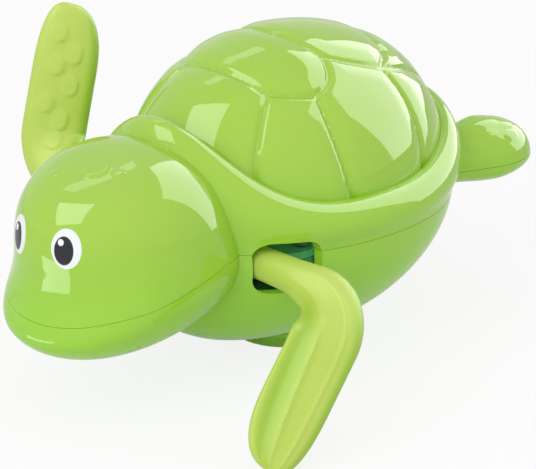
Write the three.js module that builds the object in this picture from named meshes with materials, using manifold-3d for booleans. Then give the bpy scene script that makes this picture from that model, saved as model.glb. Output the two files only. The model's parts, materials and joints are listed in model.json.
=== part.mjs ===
// Wind-up swimming turtle for the bath: two moulded shells, a clockwork drive and two rowing front flippers.
// Millimetres, +Z up. The origin is the centre of the winding knob's flat face, the head looks along -Y and
// the turtle's left is +X.
import * as THREE from 'three';
import { mergeVertices } from 'three/addons/utils/BufferGeometryUtils.js';
import Module from 'manifold-3d';

const wasm = await Module();
wasm.setup();

// Shells
const WALL = 1.8;
const CLEARANCE = 0.3;
const KNOB_HEIGHT = 3.1;
const KNOB_RADIUS = 10;
const KNOB_EDGE = 0.6;
const KNOB_RIM = 1.6;
const KNOB_DISH = 1.7;
const KNOB_BAR = { width: 3.2, height: 2.3 };
const KNOB_FLUTES = 12;
const FLUTE = { radius: 1.5, outside: 1 };
const BOSS_RADIUS = 12.8;
const BOSS_STAND = 0.3;
const BELLY_DEPTH = 25.4;
const BELLY_FORWARD = 5;
const BELLY_CURVE = { side: 1.05, front: 0.72, rear: 1.4 };
const BODY = { side: 31, front: 36.5, rear: 32.6 };
const RIM = { side: 32, front: 36.5, rear: 35 };
const CREST = { side: 28.4, front: 31.8, rear: 33 };
const RIM_RISE = { side: 3.5, front: 9, rear: 8.5 };
const CREST_RISE = { side: 7.6, front: 22, rear: 14.5 };
const RIM_ROLL = 2.2;
const PLAN_POWER = 0.96;
const DOME = { side: 27.6, front: 30.8, rear: 35.6 };
const DOME_CURVE = { side: 0.95, front: 1.06, rear: 0.88 };
const DOME_BACK = -1;
const DOME_FOOT = 4;
const DOME_HEIGHT = 28;

// Head
const HEAD_Y = -38.6;
const HEAD_RISE = 1.2;
const HEAD_PITCH_ANGLE = 16;
const HEAD = { side: 19.6, front: 22.2, rear: 18 };
const CROWN_HEIGHT = 17.9;
const CROWN_FORWARD = 4;
const CROWN_CURVE = { side: 0.6, front: 0.8, rear: 0.6 };
const JAW_DEPTH = 16;
const JAW_CURVE = { side: 0.6, front: 0.35, rear: 0.8 };
const MUZZLE = { side: 1.6, front: 7, rear: 0 };
const MUZZLE_ANGLES = { elevation: -22, above: 20, below: 38 };
const NECK_BEND_Y = -34.5;

// Hind flippers
const HIND_ROOT = { x: 11.5, y: 20 };
const HIND_TIP = { x: 16.6, y: 50 };
const HIND_HALF_WIDTH = 7.6;
const HIND_UP = 8;
const HIND_DOWN = 4.6;
const HIND_ROUNDING = 0.42;
const HIND_ROOT_SHARE = 0.8;

// Scutes of the back: azimuth from the left side and elevation on the dome, in degrees
const SCUTE_ANGLES = {
  shoulder: [-51, 51], flank: [-22, 49], flankBow: [-10, 55.5], waist: [-1, 67],
  hip: [29, 51], rump: [52, 54], tail: [59, 35],
  shoulderEnd: [-52, 14], flankEnd: [-13, 4], hipEnd: [22, 8], tailEnd: [54, 11],
  frontMiddle: [-90, 58.5], waistMiddle: [-90, 86], rearMiddle: [90, 60],
};
const GROOVE_HALF_WIDTH = 1.1;
const GROOVE_DEPTH = 0.9;

// Front flippers
const STEM_RADIUS = 3.1;
const STEM_FLARE = 7;
const KNEE_X = 33.1;
const KNEE_RADIUS = 10.5;
const KNEE_BEND_ANGLE = 86;
const BLADE_LENGTH = 24.5;
const BLADE_REACH = { inner: 7.9, outer: 4.6 };
const BLADE_HALF_THICKNESS = 2.4;
const BLADE_TWIST_ANGLE = 44;
const TWIST_RUN = 4;
const TIP_ROUNDING = 14;
const BLADE_SQUARENESS = 0.8;
const CHANNEL_DEPTH = 0.9;
const CHANNEL_PLACE = 0.62;
const CHANNEL_SPREAD = 0.2;
const PHASE_ANGLES = { left: 223.4, right: 18.9 };
const SCALE_RISE = 0.45;
const SCALES = [[18.8, -0.5], [15, 3], [12.5, 0], [8.8, 3.2], [5, -0.8], [2, 2.5], [-3, 2.5]];
const SCALE_SIZE = { along: 2.1, across: 1.6 };

// Openings for the stems
const OPENING_FORWARD = 3.5;
const OPENING_BACK = 7.2;
const OPENING_HALF_HEIGHT = 5;
const OPENING_CORNER = 3.4;
const OPENING_INNER_X = 14;

// Gear train
const MODULE = 0.6;
const TEETH = { main: 36, pinion: 10, floating: 28, crown: 20 };
const TOOTH = { addendum: 0.78, dedendum: 1.2, tip: 0.22, root: 0.5, crownRoot: 0.42 };
const TRAIN_OFFSET = 2.2;
const WHEEL_THICKNESS = 1.4;
const PINION_FACE = 2.1;
const CROWN_FACE = 1.7;
const RUNNING_GAP = 0.4;
const SHAFT_BELOW_SEAM = 2.7;
const SHAFT_RADIUS = 1.5;
const SHAFT_HALF_LENGTH = 22;
const PIN_RADIUS = 1;
const PIN_SHOULDER = 0.9;
const ARBOR_RADIUS = 2.2;
const ARBOR_FOOT = 1.24;
const HUB_WALL = 1;
const JOURNAL_RADIUS = 1.5;
const SPRING_THICKNESS = 0.4;
const SPRING_PITCH = 0.95;
const SPRING_TURNS = 7;
const SPRING_STEPS = 10;
const SPRING_POST_RADIUS = 1;
const SLOT_TRAVEL = 1.6;

// Gearbox and screws
const PLATE = 1.4;
const BASE_RISE = 5.68;
const PLATE_MARGIN = 1.1;
const PILLAR_RADIUS = 2;
const PILLAR_ANGLES = [18, 162, 209, 331];
const CHEEK_THICKNESS = 2;
const CHEEK_HALF_WIDTH = 3.2;
const COVER_EDGE = 2.7;
const MOTOR_POST_INSET = { side: 6.5, front: 11.2 };
const REST_POST = [0, 8.5];
const POST_RADIUS = 2.6;
const SCREW_RADIUS = 1;
const SCREW_HEAD = { radius: 1.9, height: 1.2, edge: 0.45 };
const SCREW_LENGTH = 6;
const MOTOR_SCREW_LENGTH = 4.2;
const DRIVE_SLOT = { width: 0.5, depth: 0.5 };
const SHELL_SCREWS = [[14, 18], [-14, 18], [0, -47]];
const SHELL_BOSS_RADIUS = 3.9;
const SHELL_POST_RADIUS = 2.9;
const SHELL_BOSS_HEIGHT = 6.5;
const SHELL_SCREW_GRIP = 7;

// Heights that follow from the sizes above
const bossBottom = KNOB_HEIGHT + CLEARANCE;
const bellyBottom = bossBottom + BOSS_STAND;
const seamZ = bellyBottom + BELLY_DEPTH;
const domeFootZ = seamZ + DOME_FOOT;
const headZ = seamZ + HEAD_RISE;
const pitch = THREE.MathUtils.degToRad(HEAD_PITCH_ANGLE);
const shaftZ = seamZ - SHAFT_BELOW_SEAM;

// Gear radii, the wheels' places in plan and their levels, stacked down from the shaft. The base stands over
// the belly's inside, and the spring takes the room between it and the main wheel
const pitchRadius = (teeth) => teeth * MODULE / 2;
const tipRadius = (teeth) => pitchRadius(teeth) + TOOTH.addendum * MODULE;
const rootRadius = (teeth) => pitchRadius(teeth) - TOOTH.dedendum * MODULE;
const mainToFloating = pitchRadius(TEETH.main) + pitchRadius(TEETH.pinion);
const floatingToContrate = pitchRadius(TEETH.floating) + pitchRadius(TEETH.pinion);
const floatingX = TRAIN_OFFSET;
const floatingY = -Math.sqrt(mainToFloating ** 2 - floatingX ** 2);
const shaftY = floatingY - Math.sqrt(floatingToContrate ** 2 - floatingX ** 2);
const crownRadius = pitchRadius(TEETH.crown);
const crownOuter = crownRadius + CROWN_FACE / 2;
const crownPitchZ = shaftZ - pitchRadius(TEETH.pinion);
const crownDiscTop = crownPitchZ - TOOTH.dedendum * MODULE;
const crownDiscBottom = crownDiscTop - WHEEL_THICKNESS;
const contratePinionBottom = crownDiscBottom - PINION_FACE;
const floatingWheelBottom = contratePinionBottom + (PINION_FACE - WHEEL_THICKNESS) / 2;
const floatingWheelTop = floatingWheelBottom + WHEEL_THICKNESS;
const floatingPinionBottom = floatingWheelBottom - PINION_FACE;
const mainWheelBottom = floatingPinionBottom + (PINION_FACE - WHEEL_THICKNESS) / 2;
const mainWheelTop = mainWheelBottom + WHEEL_THICKNESS;
const baseBottom = bellyBottom + WALL + BASE_RISE;
const baseTop = baseBottom + PLATE;
const springBottom = baseTop + RUNNING_GAP;
const springTop = mainWheelBottom - RUNNING_GAP;
const coverBottom = floatingWheelTop + RUNNING_GAP;
const coverTop = coverBottom + PLATE;
const cheekInner = crownOuter + RUNNING_GAP + CLEARANCE;
const cheekOuter = cheekInner + CHEEK_THICKNESS;
const pillarCircle = tipRadius(TEETH.main) + RUNNING_GAP + PILLAR_RADIUS;
const springInner = ARBOR_RADIUS + CLEARANCE + SPRING_THICKNESS / 2;
const springOuter = springInner + SPRING_PITCH * SPRING_TURNS;

const axisX = new THREE.Vector3(1, 0, 0);
const axisY = new THREE.Vector3(0, 1, 0);
const axisZ = new THREE.Vector3(0, 0, 1);
const radians = THREE.MathUtils.degToRad;

// Closed meshes to solids and back
function solidOf(geometry) {
  const bare = geometry.clone();
  bare.deleteAttribute('normal');
  bare.deleteAttribute('uv');
  const merged = mergeVertices(bare, 1e-4);
  const corners = [];
  for (let i = 0; i < merged.index.count; i += 3) {
    const [a, b, c] = [0, 1, 2].map((k) => merged.index.getX(i + k));
    if (a !== b && b !== c && c !== a) corners.push(a, b, c);
  }
  const make = (triVerts) => new wasm.Manifold(new wasm.Mesh({
    numProp: 3,
    vertProperties: new Float32Array(merged.attributes.position.array),
    triVerts: new Uint32Array(triVerts),
  }));
  const solid = make(corners);
  if (solid.volume() > 0) return solid;
  const turned = [];
  for (let i = 0; i < corners.length; i += 3) turned.push(corners[i], corners[i + 2], corners[i + 1]);
  return make(turned);
}

function geometryOf(solid) {
  const mesh = solid.getMesh();
  const geometry = new THREE.BufferGeometry();
  geometry.setAttribute('position', new THREE.BufferAttribute(new Float32Array(mesh.vertProperties), 3));
  geometry.setIndex(new THREE.BufferAttribute(new Uint32Array(mesh.triVerts), 1));
  geometry.computeVertexNormals();
  return geometry;
}

const joined = (solids) => solids.reduce((sum, solid) => sum.add(solid));
const without = (solid, cuts) => cuts.reduce((rest, cut) => rest.subtract(cut), solid);

// A closed skin over rings of points, each ring counter-clockwise about the way the rings go
function skin(rings) {
  const count = rings[0].length;
  const points = rings.flat();
  const ends = [rings[0], rings[rings.length - 1]].map((ring) => {
    const middle = new THREE.Vector3();
    ring.forEach((point) => middle.add(point));
    return middle.divideScalar(count);
  });
  const first = points.length;
  const index = [];
  for (let j = 0; j < count; j += 1) {
    const next = (j + 1) % count;
    for (let i = 0; i + 1 < rings.length; i += 1) {
      const [a, b] = [i * count + j, i * count + next];
      index.push(a, b, b + count, a, b + count, a + count);
    }
    const top = (rings.length - 1) * count;
    index.push(first, next, j, first + 1, top + j, top + next);
  }
  const geometry = new THREE.BufferGeometry().setFromPoints([...points, ...ends]);
  geometry.setIndex(index);
  return solidOf(geometry);
}

const range = (count, make) => Array.from({ length: count }, (_, i) => make(i));
const signedPower = (value, power) => Math.sign(value) * Math.abs(value) ** power;
const bell = (value) => Math.exp(-(value ** 2));
const sizes = (make) => ({ side: make('side'), front: make('front'), rear: make('rear') });

// One oval ring about the midline, longer to the front than to the rear or the other way round
function oval(count, size, centreY, height, power = PLAN_POWER) {
  return range(count, (j) => {
    const angle = 2 * Math.PI * j / count;
    const [c, s] = [signedPower(Math.cos(angle), power), signedPower(Math.sin(angle), power)];
    const reach = s < 0 ? size.front : size.rear;
    return new THREE.Vector3(size.side * c, centreY + reach * s, height(Math.sin(angle)));
  });
}

// Height round the body: one level at the sides, rising to the rear and more steeply to the collar in front
function rising(level, rise) {
  return (s) => {
    const lift = s < 0 ? (rise.front - rise.side) * s ** 4 : (rise.rear - rise.side) * s ** 2;
    return level + rise.side + lift;
  };
}

// Simple solids along Z
function rod(radius, bottom, top, [x, y] = [0, 0], segments = 16) {
  const geometry = new THREE.CylinderGeometry(radius, radius, top - bottom, segments);
  geometry.rotateX(Math.PI / 2).translate(x, y, (bottom + top) / 2);
  return solidOf(geometry);
}

function turned(profile, [x, y] = [0, 0], segments = 16) {
  const points = profile.map(([r, z]) => new THREE.Vector2(r, z));
  const geometry = new THREE.LatheGeometry(points, segments);
  return solidOf(geometry.rotateX(Math.PI / 2).translate(x, y, 0));
}

function plate(shape, bottom, thickness) {
  const options = { depth: thickness, bevelEnabled: false, curveSegments: 3 };
  return solidOf(new THREE.ExtrudeGeometry(shape, options).translate(0, 0, bottom));
}

// An outline drawn in the YZ plane, run along X
function alongX(shape, from, to, curveSegments = 4) {
  const options = { depth: to - from, bevelEnabled: false, curveSegments };
  const geometry = new THREE.ExtrudeGeometry(shape, options);
  geometry.applyMatrix4(new THREE.Matrix4().makeBasis(axisY, axisZ, axisX)).translate(from, 0, 0);
  return solidOf(geometry);
}

const round = (radius, y = 0, z = 0) => new THREE.Shape().absarc(y, z, radius, 0, 2 * Math.PI);

// A polygon with every corner rounded
function roundedShape(corners, radius) {
  const points = corners.map(([x, y]) => new THREE.Vector2(x, y));
  const shape = new THREE.Shape();
  points.forEach((corner, i) => {
    const before = points[(i + points.length - 1) % points.length];
    const after = points[(i + 1) % points.length];
    const enter = corner.clone().add(before.clone().sub(corner).setLength(radius));
    const leave = corner.clone().add(after.clone().sub(corner).setLength(radius));
    if (i === 0) shape.moveTo(enter.x, enter.y);
    else shape.lineTo(enter.x, enter.y);
    shape.quadraticCurveTo(corner.x, corner.y, leave.x, leave.y);
  });
  shape.closePath();
  return shape;
}

function slotShape([x, y], radius, [dx, dy]) {
  const turn = Math.atan2(dy, dx);
  const shape = new THREE.Shape();
  shape.absarc(x + dx, y + dy, radius, turn - Math.PI / 2, turn + Math.PI / 2);
  shape.absarc(x, y, radius, turn + Math.PI / 2, turn + 3 * Math.PI / 2);
  shape.closePath();
  return shape;
}

// Outer forms of the body. An inset makes the hollow that leaves a wall of that thickness
const roundCount = (inset) => (inset ? 16 : 32);
const fewer = (list, inset) => (inset ? list.filter((_, i) => i % 2 === 0) : list);
const smaller = (size, inset) => sizes((side) => size[side] - inset);

function torso(inset) {
  const count = roundCount(inset);
  const foot = seamZ - BELLY_DEPTH / 3;
  const rim = smaller(RIM, inset);
  const crest = smaller(CREST, inset ? 2 * inset : 0);
  const crestDrop = inset ? RIM_ROLL + inset : 0;
  const rimHeight = rising(seamZ, RIM_RISE);
  const crestHeight = rising(seamZ - crestDrop, CREST_RISE);
  const rings = [oval(count, smaller(BODY, inset), 0, () => foot)];
  rings.push(oval(count, smaller(BODY, inset), 0, () => seamZ));
  fewer([0, 0.35, 0.6, 0.8, 1], inset).forEach((step) => {
    const angle = step * Math.PI / 2;
    const size = sizes((side) => crest[side] + (rim[side] - crest[side]) * Math.cos(angle));
    const height = (s) => rimHeight(s) + (crestHeight(s) - rimHeight(s)) * Math.sin(angle);
    rings.push(oval(count, size, 0, height));
  });
  if (!inset) {
    [0.5, 1].forEach((step) => {
      const angle = step * Math.PI / 2;
      const size = smaller(CREST, RIM_ROLL * Math.sin(angle));
      rings.push(oval(count, size, 0, (s) => crestHeight(s) - RIM_ROLL * (1 - Math.cos(angle))));
    });
  }
  return skin(rings);
}

function domePoint([azimuth, elevation], inset = 0) {
  const [c, s] = [Math.cos(radians(azimuth)), Math.sin(radians(azimuth))];
  const [low, high] = [Math.cos(radians(elevation)), Math.sin(radians(elevation))];
  const size = smaller(DOME, inset);
  const [reach, curve] = s < 0 ? [size.front, DOME_CURVE.front] : [size.rear, DOME_CURVE.rear];
  const tall = DOME_HEIGHT - inset;
  const across = size.side * c * low ** DOME_CURVE.side;
  return new THREE.Vector3(across, DOME_BACK + reach * s * low ** curve, domeFootZ + tall * high);
}

function dome(inset) {
  const count = roundCount(inset);
  const elevations = fewer([0, 16, 31, 46, 60, 74], inset);
  const rings = [range(count, (j) => domePoint([360 * j / count, 0], inset).setZ(seamZ - WALL / 2))];
  elevations.forEach((elevation) => {
    rings.push(range(count, (j) => domePoint([360 * j / count, elevation], inset)));
  });
  rings.push(range(count, (j) => domePoint([360 * j / count, 87], inset)));
  return skin(rings);
}

function belly(inset) {
  const count = inset ? 20 : roundCount(0);
  const size = smaller(BODY, inset);
  const depth = BELLY_DEPTH - inset;
  const rings = [86, 74, 62, 49, 36, 18, 0].map((degrees) => {
    const angle = radians(degrees);
    const ring = sizes((side) => size[side] * Math.cos(angle) ** BELLY_CURVE[side]);
    return oval(count, ring, -BELLY_FORWARD * Math.sin(angle), () => seamZ - depth * Math.sin(angle));
  });
  rings.push(oval(count, size, 0, () => seamZ + DOME_FOOT));
  return skin(rings);
}

// The belly's inside at the gearbox base, less a margin, and the posts that carry the base
const baseDip = (seamZ - baseBottom) / (BELLY_DEPTH - WALL);
const baseMiddle = -BELLY_FORWARD * baseDip;
const baseReach = sizes((side) => {
  const inside = (BODY[side] - WALL) * Math.sqrt(1 - baseDip ** 2) ** BELLY_CURVE[side];
  return inside - PLATE_MARGIN;
});
const motorPostX = baseReach.side - MOTOR_POST_INSET.side;
const motorPostY = baseMiddle - baseReach.front + MOTOR_POST_INSET.front;
const motorPosts = [[motorPostX, motorPostY], [-motorPostX, motorPostY]];

function head(inset) {
  const shrink = 1 - inset / HEAD.side;
  const tilt = new THREE.Matrix4().makeRotationX(pitch).setPosition(0, HEAD_Y, headZ);
  const elevations = [-88, -80, -68, -54, -42, -30, -18, -6, 8, 23, 38, 54, 69, 81, 88];
  const rings = fewer(elevations, inset).map((elevation) => {
    const [low, high] = [Math.cos(radians(elevation)), Math.sin(radians(elevation))];
    const curve = high > 0 ? CROWN_CURVE : JAW_CURVE;
    const above = elevation - MUZZLE_ANGLES.elevation;
    const swell = bell(above / (above > 0 ? MUZZLE_ANGLES.above : MUZZLE_ANGLES.below));
    const size = sizes((side) => shrink * low ** curve[side] * (HEAD[side] + MUZZLE[side] * swell));
    const tall = shrink * (high > 0 ? CROWN_HEIGHT : JAW_DEPTH) * high;
    const forward = high > 0 ? CROWN_FORWARD * high ** 2 : 0;
    return oval(inset ? 12 : 24, size, -forward, () => tall).map((point) => point.applyMatrix4(tilt));
  });
  return skin(rings);
}

// One hind flipper: a fin along a straight middle line, fuller above the parting line than below
function hindFlipper(side, inset) {
  const [steps, count] = inset ? [4, 8] : [7, 12];
  const rings = range(steps + 1, (i) => {
    const k = 1 - (1 - i / steps) ** 2;
    const end = Math.max(0, (k - 1 + HIND_ROUNDING) / HIND_ROUNDING);
    const root = THREE.MathUtils.lerp(HIND_ROOT_SHARE, 1, THREE.MathUtils.smoothstep(k, 0.2, 0.7));
    const taper = root * Math.max(0.12, Math.sqrt(1 - end ** 2.4)) * (1 - inset / HIND_DOWN);
    const x = HIND_ROOT.x + (HIND_TIP.x - HIND_ROOT.x) * k;
    const y = HIND_ROOT.y + (HIND_TIP.y - inset - HIND_ROOT.y) * k;
    return range(count, (j) => {
      const angle = 2 * Math.PI * j / count;
      const tall = Math.sin(angle) > 0 ? HIND_UP : HIND_DOWN;
      const across = x + HIND_HALF_WIDTH * taper * Math.cos(angle);
      return new THREE.Vector3(side * across, y, seamZ + tall * taper * Math.sin(angle));
    });
  });
  return skin(rings);
}

// A groove between two scutes: a wedge along a smooth line on the dome, running on a little at both ends
function groove(places) {
  const path = new THREE.CatmullRomCurve3(places);
  const steps = 1.5 * (places.length - 1);
  const rings = range(steps + 1, (i) => {
    const at = path.getPoint(i / steps);
    const way = path.getTangent(i / steps);
    if (i === 0) at.addScaledVector(way, -GROOVE_DEPTH);
    if (i === steps) at.addScaledVector(way, GROOVE_DEPTH);
    const reach = at.y < DOME_BACK ? DOME.front : DOME.rear;
    const outward = new THREE.Vector3(
      at.x / DOME.side ** 2, (at.y - DOME_BACK) / reach ** 2, (at.z - domeFootZ) / DOME_HEIGHT ** 2,
    ).normalize();
    const across = way.clone().cross(outward).setLength(2 * GROOVE_HALF_WIDTH);
    const top = at.clone().addScaledVector(outward, GROOVE_DEPTH);
    return [top.clone().add(across), at.clone().addScaledVector(outward, -GROOVE_DEPTH), top.sub(across)];
  });
  return skin(rings);
}

function scuteGrooves() {
  const on = SCUTE_ANGLES;
  const oneSide = [
    [on.shoulder, on.flank],
    [on.flank, on.flankBow, on.waist],
    [on.waist, on.hip],
    [on.hip, on.rump],
    [on.shoulder, on.shoulderEnd],
    [on.flank, on.flankEnd],
    [on.hip, on.hipEnd],
    [on.hip, on.tail, on.tailEnd],
  ];
  const crossing = [[on.shoulder, on.frontMiddle], [on.waist, on.waistMiddle], [on.rump, on.rearMiddle]];
  const halfway = ([azimuth, elevation], [nextAzimuth, nextElevation]) => (
    [(azimuth + nextAzimuth) / 2, (elevation + nextElevation) / 2]
  );
  const mirrored = (point) => point.clone().setX(-point.x);
  const left = oneSide.map((stops) => {
    const places = stops.flatMap((stop, i) => (i ? [halfway(stops[i - 1], stop), stop] : [stop]));
    return places.map((place) => domePoint(place));
  });
  const right = left.map((places) => places.map(mirrored));
  const across = crossing.map(([corner, middle]) => {
    const end = domePoint(corner);
    return [end, domePoint(middle), mirrored(end)];
  });
  return joined([...left, ...right, ...across].map(groove));
}

// The parting line runs level round the body and drops along the mouth
function partingBlock(above) {
  const reach = 120;
  const gap = above ? CLEARANCE / 2 : -CLEARANCE / 2;
  const far = above ? reach : -reach;
  const shape = new THREE.Shape();
  shape.moveTo(reach, seamZ + gap);
  shape.lineTo(NECK_BEND_Y, seamZ + gap);
  shape.lineTo(-reach, partingZ(-reach) + gap);
  shape.lineTo(-reach, far);
  shape.lineTo(reach, far);
  shape.closePath();
  return alongX(shape, -reach, reach);
}

function partingZ(y) {
  return seamZ - Math.max(0, NECK_BEND_Y - y) * Math.tan(pitch);
}

function stemOpenings() {
  const [y0, y1] = [shaftY - OPENING_FORWARD, shaftY + OPENING_BACK];
  const [z0, z1] = [shaftZ - OPENING_HALF_HEIGHT, shaftZ + OPENING_HALF_HEIGHT];
  const shape = roundedShape([[y0, z0], [y1, z0], [y1, z1], [y0, z1]], OPENING_CORNER);
  const outside = BODY.side + KNEE_RADIUS;
  return [alongX(shape, OPENING_INNER_X, outside, 4), alongX(shape, -outside, -OPENING_INNER_X, 4)];
}

// Shell screws stand upright: head in a deep counterbore of the lower shell, thread in a post of the upper
function shellScrewLevels([, y]) {
  const meet = partingZ(y);
  return { meet, seat: meet - SHELL_BOSS_HEIGHT, tip: meet + SHELL_SCREW_GRIP };
}

function upperShell() {
  const back = dome(0).subtract(scuteGrooves());
  const outer = joined([torso(0), back, head(0), hindFlipper(1, 0), hindFlipper(-1, 0)]);
  const hollow = joined([torso(WALL), dome(WALL), head(WALL), hindFlipper(1, WALL), hindFlipper(-1, WALL)]);
  const posts = SHELL_SCREWS.map((at) => {
    const { meet, tip } = shellScrewLevels(at);
    const post = rod(SHELL_POST_RADIUS, meet + CLEARANCE, domeFootZ + DOME_HEIGHT, at, 8);
    return post.subtract(rod(SCREW_RADIUS + CLEARANCE, meet, tip + CLEARANCE, at, 8));
  });
  const walls = outer.subtract(hollow);
  const inside = joined(posts).intersect(outer);
  return without(walls.add(inside).intersect(partingBlock(true)), stemOpenings());
}

function lowerShell() {
  const boss = rod(BOSS_RADIUS, bossBottom, seamZ - BELLY_DEPTH / 2, [0, 0], 28);
  const outer = joined([belly(0), head(0), hindFlipper(1, 0), hindFlipper(-1, 0), boss]);
  const hollow = joined([belly(WALL), head(WALL), hindFlipper(1, WALL), hindFlipper(-1, WALL)]);
  const restTop = baseBottom - CLEARANCE;
  const rests = [...motorPosts, REST_POST].map((at) => rod(POST_RADIUS, bossBottom, restTop, at, 8));
  const pilotBottom = baseTop - MOTOR_SCREW_LENGTH - CLEARANCE;
  const pilots = motorPosts.map((at) => rod(SCREW_RADIUS + CLEARANCE, pilotBottom, restTop + 1, at, 8));
  const towers = SHELL_SCREWS.map((at) => {
    const top = shellScrewLevels(at).meet - CLEARANCE;
    return rod(SHELL_BOSS_RADIUS, bossBottom, top, at, 8);
  });
  const bores = SHELL_SCREWS.flatMap((at) => {
    const { meet, seat } = shellScrewLevels(at);
    const counterbore = rod(SCREW_HEAD.radius + CLEARANCE, -1, seat, at, 8);
    return [counterbore, rod(SCREW_RADIUS + CLEARANCE, seat - 1, meet + 1, at, 8)];
  });
  const inside = joined([...rests, ...towers]).intersect(outer);
  const spindleHole = rod(ARBOR_RADIUS + CLEARANCE, -1, seamZ);
  const body = without(outer, [hollow]).add(inside).intersect(partingBlock(false));
  return without(body, [...stemOpenings(), ...pilots, ...bores, spindleHole]);
}

// Winding knob: a scalloped disc, dished below, with a finger bar whose flat face ends level with the rim
function windingKnob() {
  const disc = turned([
    [0, 0], [KNOB_RADIUS - KNOB_EDGE, 0], [KNOB_RADIUS, KNOB_EDGE], [KNOB_RADIUS, KNOB_HEIGHT - KNOB_EDGE],
    [KNOB_RADIUS - KNOB_EDGE, KNOB_HEIGHT], [0, KNOB_HEIGHT],
  ], [0, 0], 2 * KNOB_FLUTES);
  const hollow = rod(KNOB_RADIUS - KNOB_RIM, -1, KNOB_DISH, [0, 0], 2 * KNOB_FLUTES);
  const bar = new THREE.BoxGeometry(2 * KNOB_RADIUS - KNOB_RIM, KNOB_BAR.width, KNOB_BAR.height);
  const hub = rod(ARBOR_RADIUS + CLEARANCE + HUB_WALL, 0, KNOB_BAR.height);
  const grip = solidOf(bar.translate(0, 0, KNOB_BAR.height / 2)).add(hub);
  const fluteCircle = KNOB_RADIUS + FLUTE.outside;
  const flutes = range(KNOB_FLUTES, (i) => {
    const angle = 2 * Math.PI * (i + 0.5) / KNOB_FLUTES;
    const centre = [fluteCircle * Math.cos(angle), fluteCircle * Math.sin(angle)];
    return rod(FLUTE.radius, -1, KNOB_HEIGHT + 1, centre, 6);
  });
  const socket = rod(ARBOR_RADIUS + CLEARANCE, ARBOR_FOOT - CLEARANCE, KNOB_HEIGHT + 1, [0, 0], 12);
  return without(without(disc, [hollow]).add(grip), [...flutes, socket]);
}

// Upright spindle: thick through the spring, a shoulder under the main wheel, a thin journal in the cover
const journalTop = coverTop - CLEARANCE;
function windingArbor() {
  const shoulder = mainWheelBottom - CLEARANCE;
  return turned([
    [0, ARBOR_FOOT], [ARBOR_RADIUS, ARBOR_FOOT], [ARBOR_RADIUS, shoulder],
    [JOURNAL_RADIUS, shoulder], [JOURNAL_RADIUS, journalTop], [0, journalTop],
  ]);
}

// Mainspring: one flat strip wound outwards at a steady rate
function mainspring() {
  const half = SPRING_THICKNESS / 2;
  const section = [[half, springBottom], [half, springTop], [-half, springTop], [-half, springBottom]];
  const rings = range(SPRING_TURNS * SPRING_STEPS + 1, (i) => {
    const angle = 2 * Math.PI * i / SPRING_STEPS;
    const radius = springInner + SPRING_PITCH * i / SPRING_STEPS;
    return section.map(([out, z]) => new THREE.Vector3(
      (radius + out) * Math.cos(angle), (radius + out) * Math.sin(angle), z,
    ));
  });
  return skin(rings);
}

// Gears: straight-sided teeth with room to turn, one tooth centred on the phase angle
function gearShape(teeth, phase) {
  const step = 2 * Math.PI / teeth;
  const shape = new THREE.Shape();
  const corners = [
    [rootRadius(teeth), -TOOTH.root / 2], [tipRadius(teeth), -TOOTH.tip / 2],
    [tipRadius(teeth), TOOTH.tip / 2], [rootRadius(teeth), TOOTH.root / 2],
  ];
  range(teeth, (i) => corners.forEach(([radius, share], k) => {
    const angle = phase + (i + share) * step;
    const [x, y] = [radius * Math.cos(angle), radius * Math.sin(angle)];
    if (i + k === 0) shape.moveTo(x, y);
    else shape.lineTo(x, y);
  }));
  shape.closePath();
  return shape;
}

const gear = (wheel, bottom, face) => (
  plate(gearShape(wheel.teeth, wheel.phase), bottom, face).translate([...wheel.at, 0])
);

// The phase that puts a gap of the second gear on a tooth of the first, seen along the line of centres
function meshedPhase(first, second) {
  const line = Math.atan2(second.at[1] - first.at[1], second.at[0] - first.at[0]);
  const share = (line - first.phase) * first.teeth / (2 * Math.PI);
  return line + Math.PI - (0.5 - share) * 2 * Math.PI / second.teeth;
}

const arborAt = [0, 0];
const floatingAt = [floatingX, floatingY];
const contrateAt = [0, shaftY];
const crownStep = 2 * Math.PI / TEETH.crown;
const contrateSpur = { teeth: TEETH.pinion, phase: 0, at: contrateAt };
const floatingLarge = { teeth: TEETH.floating, at: floatingAt };
floatingLarge.phase = meshedPhase(contrateSpur, floatingLarge);
const floatingSmall = { teeth: TEETH.pinion, phase: floatingLarge.phase, at: floatingAt };
const mainLarge = { teeth: TEETH.main, at: arborAt };
mainLarge.phase = meshedPhase(floatingSmall, mainLarge);

function mainWheel() {
  const hubRadius = ARBOR_RADIUS + HUB_WALL;
  const hub = rod(hubRadius, mainWheelBottom, coverBottom - RUNNING_GAP, arborAt, 12);
  const wheel = gear(mainLarge, mainWheelBottom, WHEEL_THICKNESS);
  const holeRing = (hubRadius + rootRadius(TEETH.main)) / 2;
  const holes = range(5, (i) => {
    const angle = 2 * Math.PI * i / 5;
    const centre = [holeRing * Math.cos(angle), holeRing * Math.sin(angle)];
    return rod(holeRing / 3, mainWheelBottom - 1, mainWheelTop + 1, centre, 6);
  });
  return without(wheel.add(hub), [...holes, rod(JOURNAL_RADIUS + CLEARANCE, 0, coverTop, arborAt, 12)]);
}

function floatingWheel() {
  const wheel = gear(floatingLarge, floatingWheelBottom, WHEEL_THICKNESS);
  const pinion = gear(floatingSmall, floatingPinionBottom, PINION_FACE + WHEEL_THICKNESS / 2);
  return wheel.add(pinion).subtract(rod(PIN_RADIUS + CLEARANCE, 0, coverTop, floatingAt, 10));
}

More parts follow.
